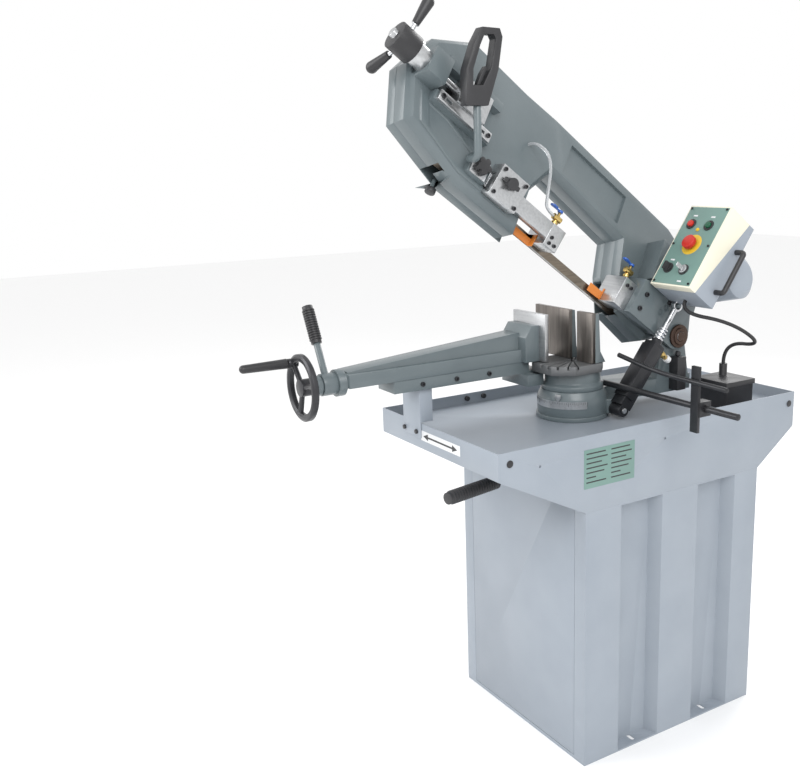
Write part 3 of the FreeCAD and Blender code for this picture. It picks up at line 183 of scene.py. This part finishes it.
FINISHES = {
    "cabinet_paint": finish("cabinet_paint", (0.29, 0.325, 0.37), (0.265, 0.30, 0.345), 0.42, grain=900, relief=0.05),
    "casting_paint": finish("casting_paint", (0.115, 0.142, 0.152), (0.095, 0.12, 0.13), 0.36, grain=260, relief=0.35,
                            coat=0.25),
    "box_paint": finish("box_paint", (0.78, 0.75, 0.62), (0.74, 0.71, 0.58), 0.4, grain=700, relief=0.1),
    "panel_green": finish("panel_green", (0.16, 0.27, 0.24), (0.14, 0.24, 0.215), 0.45, grain=800, relief=0.05),
    "guard_orange": finish("guard_orange", (0.62, 0.20, 0.03), (0.45, 0.13, 0.02), 0.35, grain=300, relief=0.05),
    "black_plastic": finish("black_plastic", (0.018, 0.018, 0.02), (0.03, 0.03, 0.033), 0.42, grain=1200, relief=0.2),
    "black_steel": finish("black_steel", (0.022, 0.023, 0.026), (0.05, 0.05, 0.055), 0.32, metallic=0.5, grain=500,
                          relief=0.05),
    "ground_steel": finish("ground_steel", (0.52, 0.53, 0.54), (0.42, 0.43, 0.44), 0.3, metallic=0.9, grain=90,
                           stretch=(1, 14, 14), relief=0.06, mottle=12),
    "jaw_steel": finish("jaw_steel", (0.20, 0.18, 0.165), (0.12, 0.11, 0.10), 0.36, metallic=0.85, grain=120,
                        stretch=(14, 14, 1), relief=0.08, mottle=9),
    "blade_steel": finish("blade_steel", (0.24, 0.20, 0.16), (0.15, 0.125, 0.10), 0.33, metallic=0.85, grain=120,
                          stretch=(20, 1, 20), relief=0.05, mottle=14),
    "bare_iron": finish("bare_iron", (0.19, 0.195, 0.20), (0.13, 0.135, 0.14), 0.45, metallic=0.7, grain=350,
                        relief=0.2),
    "brass": finish("brass", (0.62, 0.45, 0.17), (0.50, 0.35, 0.12), 0.28, metallic=1.0, grain=300, relief=0.05),
    "blue_plastic": finish("blue_plastic", (0.02, 0.10, 0.42), (0.015, 0.08, 0.34), 0.3, grain=600),
    "red_plastic": finish("red_plastic", (0.55, 0.025, 0.015), (0.45, 0.02, 0.012), 0.3, grain=600),
    "yellow_plastic": finish("yellow_plastic", (0.72, 0.48, 0.03), (0.64, 0.42, 0.03), 0.35, grain=600),
    "green_plastic": finish("green_plastic", (0.01, 0.10, 0.05), (0.01, 0.08, 0.04), 0.3, grain=600),
    "white_plastic": finish("white_plastic", (0.72, 0.73, 0.74), (0.66, 0.67, 0.68), 0.35, grain=600),
    "bright_steel": finish("bright_steel", (0.68, 0.69, 0.71), (0.6, 0.61, 0.63), 0.14, metallic=1.0, grain=200),
    "hose_rubber": finish("hose_rubber", (0.015, 0.015, 0.017), (0.03, 0.03, 0.03), 0.5, grain=700, relief=0.1),
    "clear_hose": finish("clear_hose", (0.70, 0.72, 0.74), (0.62, 0.64, 0.66), 0.12, grain=300, see_through=0.55),
    "cam_brown": finish("cam_brown", (0.05, 0.028, 0.02), (0.08, 0.045, 0.03), 0.5, metallic=0.4, grain=400,
                        relief=0.2),
}


# --- making pieces ------------------------------------------------------------------------------------

def as_object(name, mesh):
    made = bpy.data.objects.new(name, mesh)
    SCENE.collection.objects.link(made)
    return made


def settle(made):
    """Turns an object with modifiers into a plain mesh."""
    view = bpy.context.evaluated_depsgraph_get()
    mesh = bpy.data.meshes.new_from_object(made.evaluated_get(view))
    made.modifiers.clear()
    made.data = mesh
    return made


def softened(made, width):
    """Rounds the sharp edges a little and shades the rest smooth."""
    if width:
        bevel = made.modifiers.new("edges", "BEVEL")
        bevel.width = width
        bevel.segments = 2
        bevel.limit_method = "ANGLE"
        bevel.angle_limit = math.radians(SMOOTH_BEND)
        bevel.use_clamp_overlap = True
        settle(made)
    for face in made.data.polygons:
        face.use_smooth = True
    made.data.set_sharp_from_angle(angle=math.radians(SMOOTH_BEND + 4))
    return made


def merged_copy(node):
    """A CAD node's mesh with its doubles merged, and its flat faces joined where that is safe."""
    plain = bmesh.new()
    plain.from_mesh(frame["nodes"][node].data)
    bmesh.ops.remove_doubles(plain, verts=plain.verts, dist=1e-6)
    joined = plain.copy()
    bmesh.ops.dissolve_limit(joined, angle_limit=math.radians(0.6), verts=joined.verts, edges=joined.edges)
    # A flat ring joined into one face would be filled, and its triangles would add up to more.
    areas = []
    for made in (plain, joined):
        triangles = made.calc_loop_triangles()
        areas.append(sum(triangle_area(*(loop.vert.co for loop in corners)) for corners in triangles))
    safe = abs(areas[1] - areas[0]) < 0.001 * areas[0]
    spare, kept = (plain, joined) if safe else (joined, plain)
    spare.free()
    return kept


def dressed(node, rule):
    """A CAD node with softened edges. A rule gives a face another finish than the node's, from its middle."""
    bm = merged_copy(node)
    slots = [SLOT_OF[node]]
    for face in bm.faces:
        slot = rule(face.calc_center_median()) if rule else None
        slot = slot or SLOT_OF[node]
        if slot not in slots:
            slots.append(slot)
        face.material_index = slots.index(slot)
    mesh = bpy.data.meshes.new(node + "_skin")
    bm.to_mesh(mesh)
    bm.free()
    for slot in slots:
        mesh.materials.append(FINISHES[slot])
    made = softened(as_object(node + "_skin", mesh), EDGE)
    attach(made, BODY_OF[node])
    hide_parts(node)


# --- shapes drawn in a piece's own space -----------------------------------------------------------------

def aimed(start, way):
    """A space at start whose Z points along way."""
    return Matrix.Translation(start) @ Vector((0, 0, 1)).rotation_difference(Vector(way)).to_matrix().to_4x4()


def from_bmesh(name, bm, space):
    bm.transform(space)
    bmesh.ops.recalc_face_normals(bm, faces=bm.faces)
    mesh = bpy.data.meshes.new(name)
    bm.to_mesh(mesh)
    bm.free()
    return as_object(name, mesh)


def slab(name, low, high, space=WORLD, width=0.0008):
    """A bevelled block between two corners."""
    low, high = Vector(low), Vector(high)
    bm = bmesh.new()
    bmesh.ops.create_cube(bm, size=1)
    bm.transform(Matrix.Translation((low + high) / 2) @ Matrix.Diagonal((*(high - low), 1)))
    return softened(from_bmesh(name, bm, space), width)


def flat_shape(name, points, depth, space, width=0.0):
    """A plate with the given outline in X and Y and a thickness along Z."""
    bm = bmesh.new()
    face = bm.faces.new([bm.verts.new((x, y, 0)) for x, y in points])
    grown = bmesh.ops.extrude_face_region(bm, geom=[face])
    bmesh.ops.translate(bm, vec=(0, 0, depth), verts=[v for v in grown["geom"] if isinstance(v, bmesh.types.BMVert)])
    return softened(from_bmesh(name, bm, space), width)


def turned(name, profile, space, steps=40):
    """A closed profile of radius and height, turned about the space's Z."""
    bm = bmesh.new()
    rings = []
    for step in range(steps):
        angle = 2 * math.pi * step / steps
        rings.append([bm.verts.new((r * math.cos(angle), r * math.sin(angle), z)) for r, z in profile])
    count = len(profile)
    for step in range(steps):
        near, far = rings[step], rings[(step + 1) % steps]
        for i in range(count):
            j = (i + 1) % count
            bm.faces.new((near[i], far[i], far[j], near[j]))
    return softened(from_bmesh(name, bm, space), 0)


def ribbed(name, radius, first, last, count, depth, space):
    """A sleeve with rounded ribs, its inside hidden in the round piece it lies on."""
    pitch = (last - first) / count
    profile = [(radius - 0.0015, first)]
    for index in range(count):
        base = first + pitch * index
        profile += [(radius + 0.0002, base), (radius + depth, base + pitch * 0.22),
                    (radius + depth, base + pitch * 0.62), (radius + 0.0002, base + pitch * 0.84)]
    profile += [(radius + 0.0002, last), (radius - 0.0015, last)]
    return turned(name, profile, space)


def repeated(name, spots, pattern, slot, space=WORLD):
    """One pattern set on each spot by Geometry Nodes, then made a plain mesh."""
    tree = bpy.data.node_groups.new(name + "_layout", "GeometryNodeTree")
    spots_in = tree.interface.new_socket("Spots", in_out="INPUT", socket_type="NodeSocketGeometry")
    pattern_in = tree.interface.new_socket("Pattern", in_out="INPUT", socket_type="NodeSocketObject")
    finish_in = tree.interface.new_socket("Finish", in_out="INPUT", socket_type="NodeSocketMaterial")
    tree.interface.new_socket("Result", in_out="OUTPUT", socket_type="NodeSocketGeometry")
    enter, leave = tree.nodes.new("NodeGroupInput"), tree.nodes.new("NodeGroupOutput")
    shape = tree.nodes.new("GeometryNodeObjectInfo")
    spread = tree.nodes.new("GeometryNodeInstanceOnPoints")
    plain = tree.nodes.new("GeometryNodeRealizeInstances")
    paint = tree.nodes.new("GeometryNodeSetMaterial")
    tree.links.new(enter.outputs["Spots"], spread.inputs["Points"])
    tree.links.new(enter.outputs["Pattern"], shape.inputs["Object"])
    tree.links.new(shape.outputs["Geometry"], spread.inputs["Instance"])
    tree.links.new(spread.outputs["Instances"], plain.inputs["Geometry"])
    tree.links.new(plain.outputs["Geometry"], paint.inputs["Geometry"])
    tree.links.new(enter.outputs["Finish"], paint.inputs["Material"])
    tree.links.new(paint.outputs["Geometry"], leave.inputs["Result"])
    mesh = bpy.data.meshes.new(name)
    mesh.from_pydata([tuple(spot) for spot in spots], [], [])
    made = as_object(name, mesh)
    layout = made.modifiers.new("layout", "NODES")
    layout.node_group = tree
    layout[pattern_in.identifier] = pattern
    layout[finish_in.identifier] = FINISHES[slot]
    settle(made)
    bpy.data.objects.remove(pattern)
    made.data.transform(space)
    return made


def socket_screw(radius, way):
    """A cap screw with a hexagonal socket, its head standing along way."""
    rise = radius * 0.9
    bm = bmesh.new()
    steps = 24
    rings = []
    for r, z, sides in ((radius, 0, steps), (radius, rise * 0.85, steps), (radius * 0.88, rise, steps),
                        (radius * 0.52, rise, 6), (radius * 0.52, rise * 0.4, 6)):
        ring = []
        for step in range(steps):
            angle = 2 * math.pi * step / steps
            reach = r
            if sides == 6:
                part = (angle % (math.pi / 3)) - math.pi / 6
                reach = r * math.cos(math.pi / 6) / math.cos(part)
            ring.append(bm.verts.new((reach * math.cos(angle), reach * math.sin(angle), z)))
        rings.append(ring)
    for near, far in zip(rings, rings[1:]):
        for i in range(steps):
            j = (i + 1) % steps
            bm.faces.new((near[i], near[j], far[j], far[i]))
    bm.faces.new(rings[0][::-1])
    bm.faces.new(rings[-1])
    return softened(from_bmesh("screw_pattern", bm, aimed((0, 0, 0), way)), 0)


def one_piece(name, parts):
    """Joins small shapes into one piece."""
    bm = bmesh.new()
    for part in parts:
        bm.from_mesh(part.data)
        bpy.data.objects.remove(part)
    mesh = bpy.data.meshes.new(name)
    bm.to_mesh(mesh)
    bm.free()
    return as_object(name, mesh)


def finished(made, body, slot):
    """Gives a new piece its finish and its body."""
    made.data.materials.clear()
    made.data.materials.append(FINISHES[slot])
    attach(made, body)


# --- finishes of two-coloured nodes ------------------------------------------------------------------

# Where one casting or moulding changes its finish, in metres.
FOOT_TOP = 0.8545
JAW_PLATE_BACK = -0.1128
LOCK_SHAFT_END = 0.3005
CLAMP_SHAFT_END = 0.1035
CYLINDER_PIN_SIDE = 0.0945
CAM_SIDE = 0.0915
GUARD_BACK = -0.2405
MOTOR_SIDE = 0.1005
COVER_KNOB_TOP = -0.0335
SCREW_THREAD = 0.0105


def in_bow(spot):
    return BOW.inverted() @ spot


def in_wheels(spot):
    return WHEELS.inverted() @ spot


CYLINDER_FOOT = Vector(JOINTS["feed_swing"]["pos_m"])
CYLINDER = aimed(CYLINDER_FOOT, BOW @ Vector((CYLINDER_FOOT.x, -0.075, 0.055)) - CYLINDER_FOOT)


def round_the_screw(spot):
    return math.hypot(spot.x - SCREW_AXIS.x, spot.z - SCREW_AXIS.z)


def round_the_turntable(spot):
    return math.hypot(spot.x - TURN_AXIS.x, spot.y - TURN_AXIS.y)


def tension_finish(spot):
    """The tensioner's fittings are ground steel, but for the bright upper half of the gauge."""
    across = in_wheels(spot)
    return "bright_steel" if across.y < -0.985 and across.z > 0.176 else "ground_steel"


def knob_finish(spot):
    """The star knob's hub and grips are black; its screw and the grips' roots are steel."""
    across = in_wheels(spot)
    reach = math.hypot(across.x - 0.060, across.z - WHEEL_CENTRE)
    if across.y > -1.0455 or across.y < -1.1025:
        return "ground_steel"
    return "bright_steel" if 0.0345 < reach < 0.050 else "black_plastic"


def box_finish(spot):
    """The box is painted; of what stands on its face, the emergency stop's collar is yellow."""
    across = in_bow(spot)
    if across.y > -0.1855:
        return "box_paint"
    return "yellow_plastic" if abs(across.z - 0.181) < 0.031 else "black_plastic"


def cylinder_finish(spot):
    """The valve's seat, high on the back of the cylinder, is brass."""
    across = CYLINDER.inverted() @ spot
    return "brass" if across.y > 0.0205 and across.z > 0.18 else "black_steel"


RULES = {
    "turntable_base": lambda spot: "black_steel" if spot.z < FOOT_TOP else None,
    "left_jaw": lambda spot: "casting_paint" if spot.y > JAW_PLATE_BACK else None,
    "right_jaw": lambda spot: "casting_paint" if spot.y > JAW_PLATE_BACK else None,
    "lock_lever": lambda spot: "black_steel" if round_the_turntable(spot) < LOCK_SHAFT_END else None,
    "clamp_lever": lambda spot: "black_plastic" if round_the_screw(spot) > CLAMP_SHAFT_END else None,
    "swivel_arm": lambda spot: "ground_steel" if spot.x > CYLINDER_PIN_SIDE else None,
    "feed_cylinder": cylinder_finish,
    "pivot_shaft": lambda spot: "cam_brown" if spot.x > CAM_SIDE else "ground_steel",
    "rear_guide_block": lambda spot: "guard_orange" if in_bow(spot).y < GUARD_BACK else None,
    "tension_fittings": tension_finish,
    "tension_knob": knob_finish,
    "control_box": box_finish,
    "motor_cover": lambda spot: "cabinet_paint",
    "gear_motor": lambda spot: "cabinet_paint" if in_wheels(spot).x > MOTOR_SIDE else None,
    "wheel_cover": lambda spot: "black_plastic" if in_wheels(spot).z < COVER_KNOB_TOP else None,
    "vise_screw": lambda spot: "casting_paint" if round_the_screw(spot) > SCREW_THREAD else None,
}


# --- small pieces -------------------------------------------------------------------------------------

def panel():
    """The green control plate with its black corner screws and small legend plates."""
    front = -0.1850
    face = front - 0.0014
    finished(slab("control_plate", (0.1045, face, 0.0615), (0.2375, front + SUNK, 0.2955), BOW), "bow", "panel_green")
    corners = [(x, face, z) for x in (0.110, 0.232) for z in (0.067, 0.180, 0.290)]
    finished(repeated("control_plate_screws", corners, socket_screw(0.0032, (0, -1, 0)), "black_steel", BOW),
             "bow", "black_steel")
    for index, (x, z) in enumerate(((0.136, 0.268), (0.198, 0.266), (0.137, 0.132), (0.196, 0.072))):
        low = (x - 0.007, front - 0.0019, z - 0.0022)
        finished(slab(f"legend_{index + 1}", low, (x + 0.007, front - 0.0012, z + 0.0022), BOW, 0.0002), "bow",
                 "white_plastic")
    finished(turned("lamp", [(0.0001, 0), (0.005, 0), (0.005, 0.002), (0.0042, 0.0034), (0.0001, 0.0042)],
                    BOW @ aimed((0.168, front - 0.0012, 0.226), (0, -1, 0)), 20), "bow", "yellow_plastic")


def tray_plates():
    """The data plate on the tray's side and the double arrow on its front."""
    low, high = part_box("drip_tray")
    finished(slab("data_plate", (high.x - SUNK, -0.311, 0.752), (high.x + 0.0007, -0.150, 0.850), width=0.0004),
             "stand", "panel_green")
    lines = []
    for row, length in enumerate((0.060, 0.066, 0.048, 0.066, 0.056, 0.030, 0.062)):
        z = 0.838 - row * 0.012
        for side, first in ((0, -0.304), (1, -0.226)):
            lines.append(slab(f"data_line_{row}_{side}", (high.x + 0.0004, first, z),
                              (high.x + 0.0009, first + length, z + 0.0032), width=0))
    finished(one_piece("data_plate_lines", lines), "stand", "black_plastic")
    finished(slab("arrow_plate", (-0.068, low.y - 0.0007, 0.842), (0.114, low.y + SUNK, 0.868), width=0.0004),
             "stand", "white_plastic")
    half, neck, barb, thick = 0.079, 0.057, 0.0085, 0.0022
    outline = [(-half, 0), (-neck, barb), (-neck, thick), (neck, thick), (neck, barb),
               (half, 0), (neck, -barb), (neck, -thick), (-neck, -thick), (-neck, -barb)]
    space = Matrix.Translation((0.023, low.y - 0.0004, 0.855)) @ Matrix.Rotation(math.radians(90), 4, "X")
    finished(flat_shape("arrow", outline, 0.0007, space), "stand", "black_plastic")


def mitre_scale():
    """A steel band with engraved marks round the front of the swivel ring, and a pointer above it."""
    radius, low, high = 0.0940, 0.8905, 0.9105
    inside, outside = radius - SUNK, radius + 0.0007
    section = ((inside, low), (outside, low), (outside, high), (inside, high))
    bm = bmesh.new()
    first, last, steps = math.radians(-165), math.radians(-15), 60
    for step in range(steps):
        corners = []
        for angle in (first + (last - first) * step / steps, first + (last - first) * (step + 1) / steps):
            corners.append([bm.verts.new((r * math.cos(angle), r * math.sin(angle), z)) for r, z in section])
        for i in range(4):
            j = (i + 1) % 4
            bm.faces.new((corners[0][i], corners[0][j], corners[1][j], corners[1][i]))
        if step == 0:
            bm.faces.new(corners[0][::-1])
        if step == steps - 1:
            bm.faces.new(corners[1])
    bmesh.ops.remove_doubles(bm, verts=bm.verts, dist=1e-6)
    around = Matrix.Translation((TURN_AXIS.x, TURN_AXIS.y, 0))
    finished(softened(from_bmesh("mitre_scale", bm, around), 0), "swivel", "ground_steel")
    marks = []
    for index in range(51):
        angle = first + (last - first) * index / 50
        length = 0.011 if index % 10 == 0 else 0.008 if index % 5 == 0 else 0.005
        space = around @ Matrix.Rotation(angle, 4, "Z")
        marks.append(slab(f"mark_{index}", (radius + 0.0005, -0.0004, high - 0.002 - length),
                          (radius + 0.0010, 0.0004, high - 0.002), space, 0))
    finished(one_piece("mitre_scale_marks", marks), "swivel", "black_plastic")
    pointer = [(-0.0075, 0), (0.0075, 0), (0.0075, -0.010), (0, -0.020), (-0.0075, -0.010)]
    side = around @ Matrix.Rotation(math.radians(-62), 4, "Z") @ Matrix.Translation((radius + 0.0012, 0, 0.9290))
    upright = side @ Matrix(((0, 0, 1, 0), (1, 0, 0, 0), (0, 1, 0, 0), (0, 0, 0, 1)))
    finished(flat_shape("mitre_pointer", pointer, 0.0012, upright, 0.0002), "stand", "ground_steel")


def grips():
    """Ribbed grips on the lock lever and the quick-clamp lever."""
    lean = math.radians(118)
    lever = aimed((SCREW_AXIS.x, -0.7984, SCREW_AXIS.z), (math.cos(lean), 0, math.sin(lean)))
    finished(ribbed("clamp_lever_ribs", 0.013, 0.112, 0.192, 13, 0.0022, lever), "clamp_lever", "black_plastic")
    yaw = math.radians(-78.4)
    lock = aimed((TURN_AXIS.x, TURN_AXIS.y, 0.737), (math.cos(yaw), math.sin(yaw), 0))
    finished(ribbed("lock_lever_ribs", 0.015, 0.312, 0.462, 17, 0.0026, lock), "lock_lever", "black_plastic")
    finished(turned("lock_lever_cap", [(0.0105, 0.302), (0.0175, 0.302), (0.0175, 0.309), (0.0145, 0.3125),
                                       (0.0105, 0.3125)], lock), "lock_lever", "black_plastic")


def rod_collars():
    """The adjusting nuts and spring on the feed cylinder's rod, above its gland."""
    top = 0.217
    profile = [(0.0084, top)]
    for index in range(4):
        low = top + index * 0.0095
        profile += [(0.0120, low + 0.0008), (0.0132, low + 0.0022), (0.0132, low + 0.0058), (0.0120, low + 0.0072),
                    (0.0098, low + 0.0080)]
    profile.append((0.0084, top + 0.0375))
    finished(turned("rod_collars", profile, CYLINDER), "feed_cylinder", "bright_steel")


def screws():
    """Cap screws on the guides, the gib, the jaws' rail and the pivot bracket."""
    sets = (
        ("arm_clamp_screws", "bow", BOW, 0.0052, (1, 0, 0),
         [(0.080, y, z) for y in (-0.726, -0.654) for z in (-0.026, 0.036)]),
        ("front_block_screws", "guide", BOW, 0.0048, (1, 0, 0),
         [(0.063, y, z) for y, z in ((-0.506, -0.012), (-0.488, -0.026), (-0.506, -0.028))]),
        ("rear_block_screws", "bow", BOW, 0.0052, (1, 0, 0), [(0.070, -0.226, 0.022), (0.070, -0.210, 0.022)]),
        ("gib_screws", "bow", WHEELS, 0.0058, (1, 0, 0),
         [(0.0758, -0.862 + y, WHEEL_CENTRE - 0.049) for y in (-0.080, 0.068)]),
        ("bracket_screws", "bow", BOW, 0.0065, (1, 0, 0),
         [(0.0914, y, z) for y, z in ((-0.170, 0.030), (-0.170, -0.012), (-0.085, 0.055))]),
        ("vise_rail_screws", "stand", WORLD, 0.0060, (1, 0, 0), [(-0.053, y, 0.990) for y in (-0.56, -0.46, -0.36)]),
    )
    for name, body, space, radius, way, spots in sets:
        finished(repeated(name, spots, socket_screw(radius, way), "black_steel", space), body, "black_steel")


def tap_levers():
    """Blue wings on the two taps' levers."""
    wing = [(-0.006, 0), (0.006, 0), (0.0085, -0.014), (0.005, -0.020), (-0.005, -0.020), (-0.0085, -0.014)]
    for lever in ("front_tap_lever", "rear_tap_lever"):
        low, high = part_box(lever)
        middle = Matrix.Translation((low + high) / 2)
        space = middle @ BOW.to_3x3().to_4x4() @ Matrix.Translation((0, -0.004, -0.0005))
        finished(flat_shape(lever + "_wing", wing, 0.004, space, 0.0006), lever, "blue_plastic")


def head_trim():
    """A raised, chamfered rim round the front housing's face, with a shallow pocket inside it."""
    middle_y, middle_w = -0.835, 0.040
    rim = [(-0.988, 0.098), (-0.958, 0.030), (-0.812, -0.012), (-0.640, -0.012), (-0.640, 0.058), (-0.792, 0.058),
           (-0.842, 0.075), (-0.908, 0.096)]
    pocket = [(y * 0.78 + middle_y * 0.22, w * 0.72 + middle_w * 0.28) for y, w in rim]
    face, rise, floor = 0.0418, 0.0042, 0.0012
    bm = bmesh.new()
    rings = []
    for points, shrink, height in ((rim, 0.0, 0.0), (rim, 0.045, rise), (pocket, 0.0, rise), (pocket, 0.05, floor)):
        rings.append([bm.verts.new((face + height, y + (middle_y - y) * shrink, w + (middle_w - w) * shrink))
                      for y, w in points])
    count = len(rim)
    for near, far in zip(rings, rings[1:]):
        for i in range(count):
            j = (i + 1) % count
            bm.faces.new((near[i], near[j], far[j], far[i]))
    bm.faces.new(rings[-1])
    bm.faces.new(rings[0][::-1])
    finished(softened(from_bmesh("housing_rim", bm, WHEELS), 0.0008), "bow", "casting_paint")


def blade_teeth():
    """The saw teeth along the blade's lower edge between the guides."""
    first, last, pitch = -0.516, -0.206, 0.0042
    top, root, tip = -0.0440, -0.0459, -0.0479
    count = int((last - first) / pitch)
    points = [(first, top)]
    for index in range(count):
        base = first + index * pitch
        points += [(base, root), (base + pitch * 0.55, tip), (base + pitch * 0.7, root)]
    points += [(first + count * pitch, root), (first + count * pitch, top)]
    bm = bmesh.new()
    half = 0.00075
    near = [bm.verts.new((-half, y, z)) for y, z in points]
    far = [bm.verts.new((half, y, z)) for y, z in points]
    bm.faces.new(near)
    bm.faces.new(far[::-1])
    for i in range(len(points)):
        j = (i + 1) % len(points)
        bm.faces.new((near[i], far[i], far[j], near[j]))
    finished(from_bmesh("blade_teeth", bm, BOW), "bow", "ground_steel")


def hose(name, spots, diameter, slot, space=WORLD):
    """A hose drawn as a round curve along its route's points."""
    curve = bpy.data.curves.new(name + "_line", "CURVE")
    curve.dimensions = "3D"
    curve.bevel_depth = diameter / 2
    curve.bevel_resolution = 6
    curve.resolution_u = 24
    curve.use_fill_caps = True
    spline = curve.splines.new("NURBS")
    spline.points.add(len(spots) - 1)
    route = [space @ Vector(spot) for spot in spots]
    for point, spot in zip(spline.points, route):
        point.co = (*spot, 1)
    spline.order_u = 3
    spline.use_endpoint_u = True
    made = as_object(name + "_line", curve)
    curve.materials.append(FINISHES[slot])
    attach(made, "bow")
    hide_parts(name)
    line = curve.copy()
    line.bevel_depth = 0
    traced = as_object(name + "_trace", line)
    mesh = bpy.data.meshes.new_from_object(traced.evaluated_get(bpy.context.evaluated_depsgraph_get()))
    bpy.data.objects.remove(traced)


def hoses():
    """The hose from the box down to the pump, and the clear one to the front tap."""
    outlet = [BOW @ Vector((0.170, -0.110, z)) for z in (0.0566, 0.020)]
    hose("pump_hose", outlet + [(0.200, 0.260, 1.090), (0.236, 0.350, 1.020), (0.140, 0.300, 1.0234),
                                (0.140, 0.300, 0.9634)], 0.010, "hose_rubber")
    start = BOW.inverted() @ WHEELS @ Vector((0.042, -0.652, 0.192))
    run = [start, start + Vector((0.026, 0, 0.007)), (0.052, -0.610, 0.150), (0.034, -0.556, 0.070),
           (0.030, -0.540, 0.048), (0.030, -0.5114, 0.048)]
    hose("front_hose", run, 0.008, "clear_hose", BOW)


set_camera()
set_studio()
hoses()

# The blade is a thin ring that needs no softening, so it keeps its own mesh and takes only its finish.
KEPT = ("blade",)
for node in BODY_OF:
    if node in RECORD["physics"]["cord_nodes"]:
        continue
    if node in KEPT:
        frame["nodes"][node].data.materials.clear()
        frame["nodes"][node].data.materials.append(FINISHES[SLOT_OF[node]])
    else:
        dressed(node, RULES.get(node))

panel()
tray_plates()
mitre_scale()
grips()
rod_collars()
screws()
blade_teeth()
tap_levers()
head_trim()
